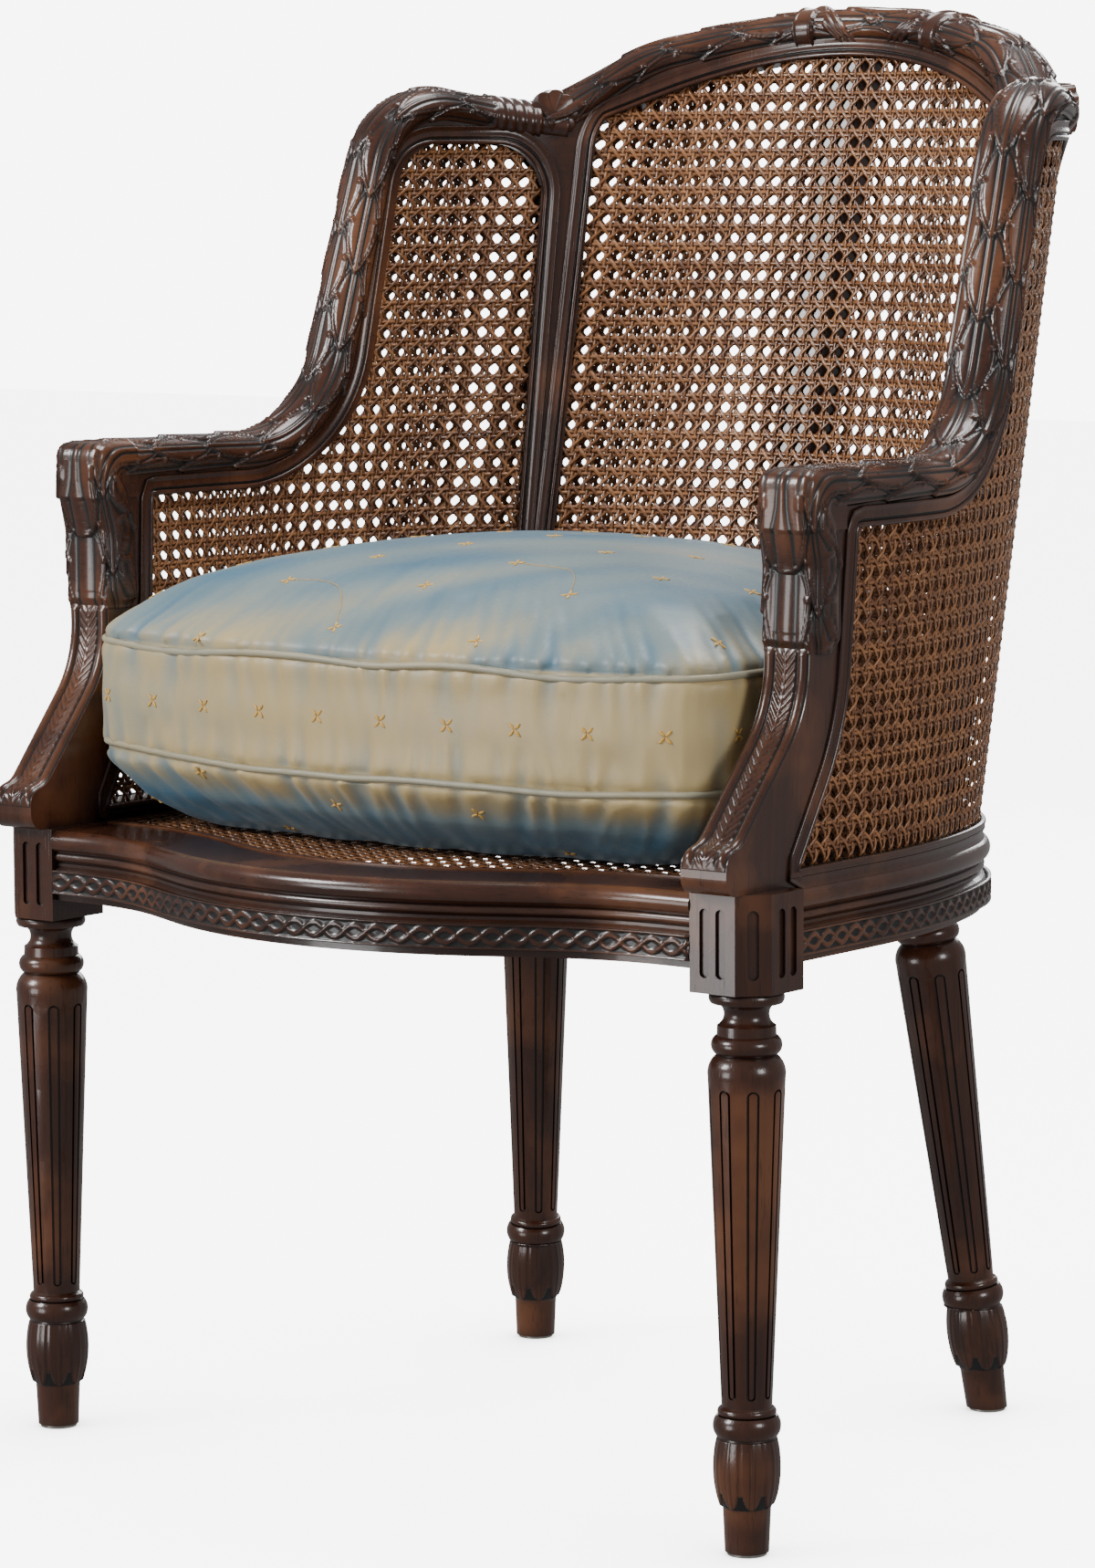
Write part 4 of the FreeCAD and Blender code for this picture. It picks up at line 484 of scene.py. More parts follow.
across = np.linspace(-STRIP_HALF, STRIP_HALF, STRIP_COLUMNS)
levels = np.linspace(HUSK_TOP, HUSK_LOW, HUSK_LEVELS)
middles = wall(run_at(POST_FRONT, levels, DEPTHWISE), levels)[:, 0]
for side, hand in ((1, "right"), (-1, "left")):
    tree = solid_tree([hand + "_arm_post"])
    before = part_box(hand + "_arm_post")[0].y - 0.02
    rows = []
    for level, middle in zip(levels, middles):
        starts = [Vector((side * (middle + place), before, level)) for place in across]
        hits = [tree.ray_cast(start, Vector((0, 1, 0)), 0.2)[0] for start in starts]
        if all(hit is not None for hit in hits):
            rows.append([hit[:] for hit in hits])
    rows = np.array(rows)
    spine = rows[:, STRIP_COLUMNS // 2]
    outward = np.cross(unit(np.gradient(spine, axis=0)), [1.0, 0, 0])
    outward *= -np.sign(outward[:, 1])[:, None]
    run = travel(spine)[:, None]
    aside = np.abs(across)[None]
    barbs = np.abs(np.sin(np.pi * (run + aside * BARB_SLOPE) / BARB_STEP)) ** 0.7
    feather = HUSK_BASE + BARB_RISE * barbs * (1 - 0.25 * (aside / HUSK_HALF) ** 2)
    feather = np.maximum(feather, HUSK_RIB * ridge(aside, HUSK_RIB_HALF)) * (aside < HUSK_HALF)
    reed = np.sqrt(np.maximum(REED_RADIUS ** 2 - (aside - REED_OUT) ** 2, 0)) * REED_FLAT
    rise = np.maximum(feather, reed) * eased(run / HUSK_FADES[0]) * eased((run[-1] - run) / HUSK_FADES[1])
    recess = np.clip(1 - np.where(aside < HUSK_EDGE, feather - HUSK_BASE, reed) / HUSK_DARK, 0, 1)
    outward = np.repeat(outward[:, None], STRIP_COLUMNS, 1)
    relief("post_husks_" + hand, rows, outward, rise, recess, UPRIGHT_WOOD)

# Two mahogany stiles stand in the corners of the tub between side and back, tenoned into the back rail, and
# a brace stands in the middle of the back. Where arm rail and crest meet over a stile, a ribbed shell is
# turned over the joint.
STILE_LOW, STILE_HIGH = (0.1015, 0.019), (0.150, 0.038)
SHELL_ALONG, SHELL_TOP = 0.135, 0.904
SHELL_RADIUS, SHELL_HALF, SHELL_NOSE = 0.0150, 0.0212, 0.0035
SHELL_RIBS, SHELL_RISE, SHELL_CLEAR, SHELL_TWIST = 9, 0.0024, 0.0003, 5.0
SHELL_STRAIGHT = 0.72

dress(["left_stile", "right_stile"], UPRIGHT_WOOD)
dress(["stile_dowels", "back_brace"], LEVEL_WOOD)


def stile_edge(height, side):
    """Front edge (side -1) or rear edge (side 1) of a stile, along its own width."""
    share = (height - SILL) / (SHELL_TOP - SILL)
    middle, width = (low + (high - low) * share for low, high in zip(STILE_LOW, STILE_HIGH))
    return middle + side * width / 2


shell_spot = wall(run_at(SHELL_ALONG, SHELL_TOP, STILEWISE), SHELL_TOP)
shell_axis = np.array([math.cos(STILE_BEARING), math.sin(STILE_BEARING), 0])
shell_side = np.array([-shell_axis[1], shell_axis[0], 0])
turn = np.linspace(0, 2 * np.pi, 150, endpoint=False)[None]
share = np.linspace(-1, 1, 64)[:, None]
ending = eased((np.abs(share) - SHELL_STRAIGHT) / (1 - SHELL_STRAIGHT))
ribs = np.abs(np.sin((turn * SHELL_RIBS + share * SHELL_TWIST) / 2)) ** 0.7
radius = (SHELL_RADIUS + SHELL_CLEAR + SHELL_RISE * ribs) * (1 - 0.85 * ending ** 1.4)
axial = np.sign(share) * (SHELL_HALF * np.minimum(np.abs(share) / SHELL_STRAIGHT, 1) + SHELL_NOSE * ending)
rings = (shell_spot - [0, 0, SHELL_RADIUS] + shell_axis * axial[..., None]
         + shell_side * (np.cos(turn) * radius)[..., None]
         + np.array([0, 0, 1.0]) * (np.sin(turn) * radius)[..., None])
hollow = np.broadcast_to(np.clip(1.1 - ribs * 2.0, 0, 1), rings.shape[:2])
tube_mesh("shell_right", rings, LEVEL_WOOD, hollow)
tube_mesh("shell_left", (rings * [-1, 1, 1])[:, ::-1], LEVEL_WOOD, hollow[:, ::-1])

# Woven cane fills both faces of every opening: two upright strands, two level ones and a pair of diagonals
# to each hole, in split rattan. It is woven through holes in the frame and finished with clear lacquer.
# Openings are outlines in the plane of run and height, stepped as finely as OUTLINE_STEP.
FACES = ((-1, "inner"), (1, "outer"))
OUTLINE_STEP, ARC_STEP = 0.003, 0.003
ARM_JOINT, SIDE_TOP = 0.631, 0.868
CORNER_ROUND = 0.036
POST_FOOT, POST_KNEE, POST_BACK = 0.036, (0.084, RAIL_TOP + 0.092, 0.160), 0.092
WING_FOOT, WING_SWEEP, WING_SLOPE = 0.281, 0.120, 0.235
BACK_CORNER, CORNER_SLOPE = 0.889, 0.33
HEAD_PEAK, HEAD_CURVE, HEAD_FALL = 0.9285, 0.378, math.radians(23)
PITCH = 0.0133
STRAND_PLACE = 0.115
STRAND_HALF, STRAND_THICK = 0.00140, 0.00050
SQUARE_LIFT, CROSS_LIFT = 0.0005, 0.00095
CANE_OUT, CANE_LAP = 0.0138, 0.003
FIRST_HOLE, HOLE_SHIFT = 0.004, 0.006
CANE_BROWN = (0.115, 0.038, 0.0125, 1)
CANE_HONEY = (0.37, 0.158, 0.060, 1)
CANE_SHADE = (0.03, 0.011, 0.004, 1)


def rounded(corners):
    """Points of straight runs joined by tangent arcs; a corner is (across, up) or (across, up, radius)."""
    points = [Vector(corner[:2]) for corner in corners]
    line = []
    for number, corner in enumerate(corners):
        here = points[number]
        if len(corner) == 2:
            line.append(here)
            continue
        radius = corner[2]
        back = (points[number - 1] - here).normalized()
        ahead = (points[number + 1] - here).normalized()
        half = back.angle(ahead) / 2
        centre = here + (back + ahead).normalized() * (radius / math.sin(half))
        start, end = here + back * radius / math.tan(half), here + ahead * radius / math.tan(half)
        turn = math.pi - 2 * half
        first = start - centre
        sense = 1.0 if first.x * (end - centre).y - first.y * (end - centre).x > 0 else -1.0
        for share in np.linspace(0, 1, max(3, int(turn * radius / ARC_STEP))):
            angle = share * turn * sense
            line.append(centre + Vector((first.x * math.cos(angle) - first.y * math.sin(angle),
                                         first.x * math.sin(angle) + first.y * math.cos(angle))))
    return np.array([point[:] for point in line])


def along_sill(begin, end):
    """The run of an outline along the sill, without its end points."""
    run = np.linspace(begin, end, int((end - begin) / OUTLINE_STEP))[1:-1]
    return np.stack([run, np.full(len(run), SILL)], -1)


def side_outline():
    """Outline of the right opening, up the post, along the arm, up the wing and down the stile."""
    wing = WING_FOOT + WING_SLOPE * (SIDE_TOP - ARM_JOINT)
    stile = stile_edge(SIDE_TOP, -1)
    front = rounded([(POST_FOOT, SILL), POST_KNEE, (POST_BACK, ARM_JOINT),
                     (WING_FOOT, ARM_JOINT, WING_SWEEP), (wing, SIDE_TOP, CORNER_ROUND),
                     (wing + 0.045, SIDE_TOP)])
    rear = rounded([(stile - 0.06, SIDE_TOP), (stile, SIDE_TOP, CORNER_ROUND),
                    (stile_edge(SILL, -1), SILL)])
    front, rear = evenly(front, OUTLINE_STEP), evenly(rear, OUTLINE_STEP)
    first = np.stack([run_at(front[:, 0], front[:, 1], DEPTHWISE), front[:, 1]], -1)
    last = np.stack([run_at(rear[:, 0], rear[:, 1], STILEWISE), rear[:, 1]], -1)
    middle = (first[-1, 0] + last[0, 0]) / 2
    first = first[(first[:, 1] < SIDE_TOP - 1e-5) | (first[:, 0] > middle)]
    last = last[(last[:, 1] < SIDE_TOP - 1e-5) | (last[:, 0] < middle)]
    return np.concatenate([first, last, along_sill(last[-1, 0], first[0, 0])])


def back_outline():
    """Outline of the back opening, up the right edge, over the head and down the left edge."""
    corner = stile_edge(BACK_CORNER, 1)
    edge = evenly(rounded([(stile_edge(SILL, 1), SILL), (corner, BACK_CORNER, CORNER_ROUND),
                           (corner + 0.3, BACK_CORNER + CORNER_SLOPE * 0.3)]), OUTLINE_STEP)
    run = np.linspace(run_at(corner + CORNER_ROUND, BACK_CORNER, STILEWISE), 0.0, 90)
    height = np.full(run.shape, BACK_CORNER)
    arc_half = HEAD_CURVE * math.sin(HEAD_FALL)
    for _ in range(8):
        spots = wall(run, height)
        x = np.abs(spots[:, 0])
        arc = HEAD_PEAK - HEAD_CURVE + np.sqrt(HEAD_CURVE ** 2 - np.minimum(x, arc_half) ** 2)
        head = arc - np.maximum(x - arc_half, 0) * math.tan(HEAD_FALL)
        height = np.minimum(head, np.interp(measured(spots, STILEWISE), edge[:, 0], edge[:, 1]))
    flank = edge[edge[:, 0] < corner + CORNER_ROUND * 0.2]
    flank = np.stack([run_at(flank[:, 0], flank[:, 1], STILEWISE), flank[:, 1]], -1)
    top = np.stack([run, height], -1)[run < flank[-1, 0]]
    right = evenly(np.concatenate([flank, top]), OUTLINE_STEP)
    left = right[-2::-1] * [-1, 1]
    return np.concatenate([right, left, along_sill(left[-1, 0], right[0, 0])])


def winding(outline):
    """1 for a closed outline that runs anticlockwise, -1 for one that runs clockwise."""
    run, height = outline.T
    return np.sign(np.sum(run * np.roll(height, -1) - np.roll(run, -1) * height))


def outline_away(outline):
    """Directions square to a closed outline, pointing out of it."""
    ahead = unit(np.roll(outline, -1, 0) - np.roll(outline, 1, 0))
    return np.stack([ahead[:, 1], -ahead[:, 0]], -1) * winding(outline)


def rattan():
    """Split cane with a hard glossy skin, each strand a little lighter or darker than the next."""
    material, start = new_material("rattan")
    place = start.own_place()
    mottle = place.cloud(55.0, 4.0)
    light = (start.painted("strand") * 0.55 + mottle * 0.5).between(0.22, 0.85)
    # Painted shade: the cane darkens to its shade colour wherever ambient occlusion finds it shut in.
    painted_shut_in_shade = (1 - start.open_air(0.004, 3)).between(0.35, 0.95)
    colour = painted_shut_in_shade.blend(light.blend(CANE_BROWN, CANE_HONEY), CANE_SHADE)
    surface(start, {"Base Color": colour, "Roughness": mottle * 0.2 + 0.22,
                    "Normal": place.cloud(900.0).bump(0.3, 0.0002),
                    "Coat Weight": 0.3, "Coat Roughness": 0.15})
    return material


RATTAN = rattan()


def within(points, outline):
    """Which points of a plane lie inside a closed outline."""
    inside = np.zeros(len(points), bool)
    for (x1, y1), (x2, y2) in zip(outline, np.roll(outline, -1, 0)):
        if y1 == y2:
            continue
        between = (points[:, 1] > min(y1, y2)) & (points[:, 1] <= max(y1, y2))
        inside ^= between & (points[:, 0] < x1 + (points[:, 1] - y1) * (x2 - x1) / (y2 - y1))
    return inside


def strand_lift(across, along):
    """Share of the full lift of an upright or level strand: steepest where it crosses its pair."""
    place = along - np.round(along)
    reach = np.abs(place)
    rise = np.where(reach <= STRAND_PLACE, np.sin(np.pi * place / (2 * STRAND_PLACE)),
                    np.sign(place) * np.cos(np.pi * (reach - STRAND_PLACE) / (2 * (0.5 - STRAND_PLACE))))
    return across * rise


def weave(name, spread, outline, nodes, seed, shift=(0.0, 0.0), kinds=("square", "slanting")):
    """Woven cane inside an outline; spread turns plane coordinates and a lift into places in the chair."""
    first = np.floor((outline.min(0) - shift) / PITCH).astype(int) - 1
    last = np.ceil((outline.max(0) - shift) / PITCH).astype(int) + 1
    chance = np.random.default_rng(seed)
    laid = []

    def lay(u, v, lift, way):
        laid.append((np.stack([u, v], -1) * PITCH + shift, lift, np.tile(way, (len(u), 1)),
                     np.arange(len(u)) < len(u) - 1, np.full(len(u), chance.random())))

    level, upright = (np.sort(np.concatenate([np.arange(first[axis], last[axis] + 1) + place
                                              for place in (-STRAND_PLACE, STRAND_PLACE, 0.5)]))
                      for axis in (0, 1))
    if "square" in kinds:
        for number in range(first[0], last[0] + 1):
            for side in (-1, 1):
                lay(np.full(len(upright), number + side * STRAND_PLACE), upright,
                    SQUARE_LIFT * strand_lift(side, upright), (0, 1))
        for number in range(first[1], last[1] + 1):
            for side in (-1, 1):
                lay(level, np.full(len(level), number + side * STRAND_PLACE),
                    -SQUARE_LIFT * strand_lift(side, level), (1, 0))
    if "slanting" in kinds:
        slant = np.arange(first[0], last[0] + 1, 0.25)
        ripple = CROSS_LIFT * np.cos(2 * np.pi * slant)
        for number in range(first[1] - last[0], last[1] - first[0] + 1):
            lay(slant, slant + number + 0.5, -ripple, (0.7071, 0.7071))
        for number in range(first[1] + first[0], last[1] + last[0] + 1):
            lay(slant, number + 0.5 - slant, ripple, (0.7071, -0.7071))
    spots, lifts, ways, joins, tones = (np.concatenate(part) for part in zip(*laid))
    kept = within(spots, outline)
    joins = joins & kept & np.append(kept[1:], False)
    used = joins | np.append(False, joins[:-1])
    links = (np.cumsum(used) - 1)[np.nonzero(joins)[0]]
    spots, lifts, ways, tones = spots[used], lifts[used], ways[used], tones[used]
    aside = np.stack([-ways[:, 1], ways[:, 0]], -1) * STRAND_HALF
    ring = np.stack([spread(spots + aside, lifts), spread(spots, lifts + STRAND_THICK),
                     spread(spots - aside, lifts), spread(spots, lifts - STRAND_THICK)], 1)
    corner = np.arange(4)
    here, there = links[:, None] * 4 + corner, links[:, None] * 4 + 4 + corner
    sides = np.stack([here, np.roll(here, -1, 1), np.roll(there, -1, 1), there], -1).reshape(-1, 4)
    begins = np.setdiff1d(links, links + 1)
    ends = np.setdiff1d(links + 1, links)
    quads = np.concatenate([sides, begins[:, None] * 4 + corner[::-1], ends[:, None] * 4 + corner])
    piece = skin_piece(name, ring, quads.ravel(), np.arange(0, quads.size, 4), RATTAN, "frame")
    paint(piece, "strand", np.repeat(tones, 4))
    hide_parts(*nodes)


def wall_spread(face, side=1):
    """Places on one face of the wall, for the right side (1) or the left (-1)."""
    def spread(spots, lifts):
        return wall(spots[:, 0], spots[:, 1], face * CANE_OUT + lifts) * [side, 1, 1]
    return spread


SIDE_OPENING = side_outline()
BACK_OPENING = back_outline()
side_field = SIDE_OPENING + outline_away(SIDE_OPENING) * CANE_LAP
back_field = BACK_OPENING + outline_away(BACK_OPENING) * CANE_LAP
for face, layer in FACES:
    level = SILL + FIRST_HOLE + HOLE_SHIFT * face
    weave(layer + "_side_weave_right", wall_spread(face), side_field, [layer + "_cane_right"], 3,
          (0.0, level))
    weave(layer + "_side_weave_left", wall_spread(face, -1), side_field, [layer + "_cane_left"], 5,
          (PITCH / 2 * (face > 0), level))
    for kind in ("square", "slanting"):
        weave(layer + "_back_weave_" + kind, wall_spread(face), back_field, [layer + "_cane_back"], 7,
              (0.0, level), (kind,))

# Both sides of each opening carry a run moulding: a bead beside the cane, a quirk and a hollow band with
# a sharp outer edge. It is worked in the solid of the stiles, arm rails, posts and crest. The profile is a
# list of (distance from the opening, rise over the wall, recess).
WALL_HALF = 0.017
BEAD_MIDDLE, BEAD_BASE, BEAD_HALF, BEAD_HIGH = 0.0016, 0.0003, 0.0018, 0.0017
BEAD_DARK = (0.5, 0.1, 0, 0, 0, 0.1, 0.5)
MOULDING = ([(-0.0004, -0.0020, 1), (-0.0004, 0.0002, 0.9)]
            + [(BEAD_MIDDLE - BEAD_HALF * math.cos(turn), BEAD_BASE + BEAD_HIGH * math.sin(turn), dark)
               for turn, dark in zip(np.linspace(0.1, math.pi - 0.1, len(BEAD_DARK)), BEAD_DARK)]
            + [(0.0040, 0.0002, 1), (0.0046, 0.0002, 1), (0.0050, 0.0018, 0.4), (0.0056, 0.0019, 0),
               (0.0070, 0.0012, 0.1), (0.0088, 0.0009, 0.15), (0.0106, 0.0013, 0.1), (0.0118, 0.0021, 0),
               (0.0124, 0.0021, 0), (0.0130, 0.0016, 0.3), (0.0133, -0.0020, 1)])


def run_moulding(name, outline, face, side=1):
    """The moulding round an opening, on one face of the wall."""
    away = outline_away(outline)
    rings = np.stack([wall(*(outline + away * gap).T, face * (WALL_HALF + rise)) * [side, 1, 1]
                      for gap, rise, _ in MOULDING], 1)
    recess = np.broadcast_to([dark for _, _, dark in MOULDING], rings.shape[:2])
    if face * side * winding(outline) > 0:
        rings, recess = rings[:, ::-1], recess[:, ::-1]
    tube_mesh(name, rings, UPRIGHT_WOOD, recess, looped=True)


for face, layer in FACES:
    run_moulding(layer + "_moulding_right", SIDE_OPENING, face)
    run_moulding(layer + "_moulding_left", SIDE_OPENING, face, -1)
    run_moulding(layer + "_moulding_back", BACK_OPENING, face)

# Arm rail, wing and knob are one carved mahogany roll from the shell to the front, turned down over the arm
# post as a sleeve. Overlapping laurel leaves with a rib and berries between them are cut in the solid, tips
# to the front, behind a reeded tie beside the shell.
ROLL_ACROSS, ROLL_UP, ROLL_CLEAR = 0.0205, 0.0128, 0.0004
ROLL_COLUMNS = 6
CARVE_STEP, CARVE_AROUND = 0.0010, 116
LEAF_PITCH, LEAF_LENGTH, LEAF_HALF, LEAF_RISE = 0.056, 0.066, 0.0118, 0.0040
LEAF_EDGE, LEAF_RIB = 0.0014, 0.0011
VEIN_OUT, VEIN_HALF, VEIN_CUT = 0.0020, 0.0007, 0.0007
RIM_IN, RIM_HALF, RIM_CUT = 0.0026, 0.0006, 0.0009
BERRY, BERRY_BACK = 0.0027, 0.012
LEAF_DARK = 0.0016
ROLL_LEVEL = 0.6545
WING_TOP, WING_LEAN, WING_ROUND, WING_FALL = 0.9004, 0.299, 0.0535, 0.17
ARM_REAR, ARM_ROUND = 0.2632, 0.0925
KNOB_FRONT, KNOB_ROUND, KNOB_TOP, KNOB_SWELL = 0.0480, 0.0125, 0.652, 0.0022
SLEEVE_FRONT, SLEEVE_LOW = 0.0575, 0.5560
TIE_BEGIN, TIE_END, TIE_STEP, TIE_SLANT = 0.022, 0.062, 0.008, 0.12
TIE_BASE, TIE_RISE = 0.0016, 0.0012


def laurel(along, around, girth):
    """Height and recess of laurel leaves round a roll, tips pointing forwards along it."""
    height, vein = np.zeros(np.broadcast(along, around).shape), 0.0
    spacing = girth / ROLL_COLUMNS
    for column in range(ROLL_COLUMNS):
        stagger = 0.5 * (column % 2)
        aside = np.abs(nearest(around - column * spacing, girth))
        newest = np.floor(along / LEAF_PITCH - stagger)
        for back in (1, 0):
            share = np.clip((along - (newest - back + stagger) * LEAF_PITCH) / LEAF_LENGTH, 0.0, 1.0)
            half = LEAF_HALF * np.sin(np.pi * share ** 0.85) ** 0.8 + 1e-6
            inside = eased((half - aside) / LEAF_EDGE)
            dished = 0.50 + 0.50 * np.minimum(aside / half, 1.0) ** 2 + 0.30 * ridge(aside, LEAF_RIB)
            body = inside * LEAF_RISE * (0.34 + 0.66 * share) * dished
            groove = inside * ridge(aside - VEIN_OUT, VEIN_HALF) * (share < 0.93)
            rim = inside * ridge(half - aside - RIM_IN, RIM_HALF) * (half > 0.005)
            leaf = body - RIM_CUT * rim - VEIN_CUT * inside * groove
            vein = np.where(leaf >= height, np.maximum(groove, 0.8 * rim), vein)
            height = np.maximum(height, leaf)
        gap = nearest(around - (column + 0.5) * spacing, girth)
        bead = nearest(along - LEAF_LENGTH + BERRY_BACK, LEAF_PITCH / 2)
        height = np.maximum(height, np.sqrt(np.maximum(BERRY ** 2 - bead ** 2 - gap ** 2, 0)))
    return height, np.clip(1.15 - height / LEAF_DARK, 0, 1) + 0.9 * vein


def carved_roll(name, centres, across, squareness, up_half, pattern, tree=None, watched=None, side=1):
    """A roll swept along its centres and carved by a pattern, on a tree's surface where it is watched."""
    ahead = unit(np.gradient(centres, axis=0))
    across = unit(across - ahead * np.sum(across * ahead, 1)[:, None])
    up = np.cross(ahead, across)
    turn = np.linspace(0, 2 * np.pi, CARVE_AROUND, endpoint=False)
    girth = 2 * np.pi * math.sqrt((ROLL_ACROSS ** 2 + ROLL_UP ** 2) / 2)
    level = np.sign(np.cos(turn)) * np.abs(np.cos(turn)) ** squareness[:, None]
    climb = np.sign(np.sin(turn)) * np.abs(np.sin(turn)) ** squareness[:, None]
    points = (centres[:, None] + across[:, None] * (level * ROLL_ACROSS)[..., None]
              + up[:, None] * (climb * up_half[:, None])[..., None])
    way = unit(across[:, None] * (np.cos(turn) / ROLL_ACROSS)[None, :, None]
               + up[:, None] * (np.sin(turn)[None, :] / up_half[:, None])[..., None])
    if tree:
        for row in np.nonzero(watched)[0]:
            for column in np.nonzero(np.sin(turn) > -0.35)[0]:
                spot, direction = Vector(points[row, column]), Vector(way[row, column])
                hit = tree.ray_cast(spot + direction * 0.02, -direction, 0.02)[0]
                if hit is not None:
                    points[row, column] = hit
    around = girth * ((turn - np.pi / 2) / (2 * np.pi))[None, :]
    height, recess = pattern(travel(centres)[:, None], around, girth)
    points = (points + way * (height + ROLL_CLEAR)[..., None]) * [side, 1, 1]
    if side > 0:
        points, recess = points[:, ::-1], recess[:, ::-1]
    tube_mesh(name, points, LEVEL_WOOD, recess)


def arm_pattern(along, around, girth):
    """Laurel, with a reeded tie in front of the shell."""
    height, recess = laurel(along, around, girth)
    tie = (along > TIE_BEGIN) & (along < TIE_END)
    plain = along <= TIE_BEGIN
    reeds = np.abs(np.sin(np.pi * (along - TIE_BEGIN + around * TIE_SLANT) / TIE_STEP)) ** 0.6
    height = np.where(tie, TIE_BASE + TIE_RISE * reeds, np.where(plain, TIE_BASE / 2, height))
    recess = np.where(tie, 0.9 * (1 - reeds) ** 1.5, np.where(plain, 0.15, recess))
    return height * eased((arm_line[:, 1] - SLEEVE_LOW - 0.002) / 0.006)[:, None], recess


shell_y = shell_spot[1] - LEG_LINE
wing_y = ARM_REAR + WING_LEAN * (WING_TOP - ROLL_LEVEL)
arm_line = evenly(rounded([(shell_y + 0.004, WING_TOP - WING_FALL * (shell_y - wing_y)),
                           (wing_y, WING_TOP, WING_ROUND), (ARM_REAR, ROLL_LEVEL, ARM_ROUND),
                           (KNOB_FRONT, ROLL_LEVEL, KNOB_ROUND), (0.0500, 0.6360, 0.03),
                           (SLEEVE_FRONT, 0.6080, 0.05), (SLEEVE_FRONT, SLEEVE_LOW)]), CARVE_STEP)
arm_run = run_at(arm_line[:, 0], arm_line[:, 1], DEPTHWISE)
arm_centres = wall(arm_run, arm_line[:, 1])
arm_across = wall(arm_run, arm_line[:, 1], 0.01) - arm_centres
on_post = eased((KNOB_TOP - arm_line[:, 1]) / 0.02) * (arm_line[:, 0] < 0.10)
closing = eased((arm_line[:, 1] - SLEEVE_LOW) / 0.014)
arm_tree = solid_tree(["right_arm_rail", "right_arm_post"])
dress(["left_arm_rail", "right_arm_rail"], LEVEL_WOOD)
for side, hand in ((1, "right"), (-1, "left")):
    carved_roll("arm_laurel_" + hand, arm_centres, arm_across, 1 - 0.5 * on_post,
                (ROLL_UP + KNOB_SWELL * on_post) * (0.72 + 0.28 * closing), arm_pattern, arm_tree,
                arm_line[:, 0] < 0.095, side)

# The crest rail is a second mahogany roll, dowelled between the two shells. Its laurel runs from the middle
# to both ends, under two crossed ribbons at the middle and a clasp on each side of them.
CREST_TOP, CREST_SINK = 0.960, 0.0125
CREST_CURVE, CREST_SLOPE, CREST_BEND = 0.5275, 0.2345, 0.153
CREST_END_ROUND, CREST_END_SLOPE = 0.085, 0.78
TIE_REACH, TIE_HALF, TIE_CROSSING = 0.044, 0.0095, 1.05
CLASP_PLACE, CLASP_WIDTH, CLASP_RISE = 0.062, 0.0085, 0.0036
SASH_EDGE = 0.001

crest_peak = CREST_TOP - CREST_SINK + CREST_CURVE * (1 / math.cos(math.atan(CREST_SLOPE)) - 1)
crest_low = crest_peak - CREST_SLOPE * CREST_BEND
crest_end = shell_spot[0] + 0.003
crest_fall = crest_low - CREST_END_SLOPE * (crest_end - CREST_BEND)
crest_line = evenly(rounded([(crest_end, crest_fall), (CREST_BEND, crest_low, CREST_END_ROUND),
                             (0.0, crest_peak, CREST_CURVE), (-CREST_BEND, crest_low, CREST_END_ROUND),
                             (-crest_end, crest_fall)]), CARVE_STEP)
crest_half = 0.5 * CARVE_STEP * (len(crest_line) - 1)


def crest_pattern(along, around, girth):
    """Laurel from the middle to both ends, two crossed ribbons at the middle and a clasp on each side."""
    place = along - crest_half
    height, recess = laurel(np.abs(place), around, girth)
    for way in (-1, 1):
        band = np.abs(place - way * (around * TIE_CROSSING + 0.004))
        folds = 0.75 + 0.25 * np.cos(band / TIE_HALF * 3 * np.pi)
        rise = (eased((TIE_HALF - band) / SASH_EDGE) * (np.abs(place) < TIE_REACH)
                * (CLASP_RISE + 0.0004 * way) * folds)
        recess = np.where(rise > height, 1 - folds, recess)
        height = np.maximum(height, rise)
    clasp = np.abs(np.abs(place) - CLASP_PLACE)
    rise = eased((CLASP_WIDTH - clasp) / SASH_EDGE) * (CLASP_RISE + 0.0012 * (clasp > CLASP_WIDTH * 0.72))
    recess = np.where(rise > height, 0.2, recess)
    return np.maximum(height, rise), recess


crest_run = run_at(-np.abs(crest_line[:, 0]), crest_line[:, 1], ACROSS) * np.sign(crest_line[:, 0] + 1e-12)
crest_centres = wall(crest_run, crest_line[:, 1])
crest_across = wall(crest_run, crest_line[:, 1], 0.01) - crest_centres
carved_roll("crest_laurel", crest_centres, crest_across, np.ones(len(crest_line)),
            np.full(len(crest_line), ROLL_UP), crest_pattern)
dress(["crest_rail", "crest_dowels"], LEVEL_WOOD)

# The seat is caned over the rails in one sheet, in the same pattern as the walls. A binder of the same cane
# is pegged down round its edge and hides the holes.
seat_low, seat_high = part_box("seat_cane")
seat_level = (seat_low.z + seat_high.z) / 2


def seat_spread(spots, lifts):
    """Places on the seat."""
    return np.column_stack([spots, lifts + seat_level])


seat_field = cut_round(solid_tree(["seat_cane"]), seat_level, 240)[:, :2]
weave("seat_weave", seat_spread, seat_field, ["seat_cane"], 11)
dress(["seat_binder"], RATTAN)

# Steel screws hold the corner blocks to the rails. Nickelled glides are nailed under the four feet and keep
# their end grain off the floor.
SCREW_STEEL = (0.42, 0.40, 0.37, 1)
GLIDE_NICKEL = (0.50, 0.48, 0.44, 1)


def metal(name, colour, roughness):
    """Plain metal, a little dulled."""
    material, start = new_material(name)
    place = start.own_place()
    worn = place.cloud(160.0, 4.0)
    dull = [part * 0.6 for part in colour[:3]] + [1]
    surface(start, {"Base Color": worn.between(0.3, 0.8).blend(dull, colour), "Metallic": 1.0,
                    "Roughness": worn * 0.25 + roughness, "Normal": place.cloud(900.0).bump(0.2, 0.0002)})
    return material


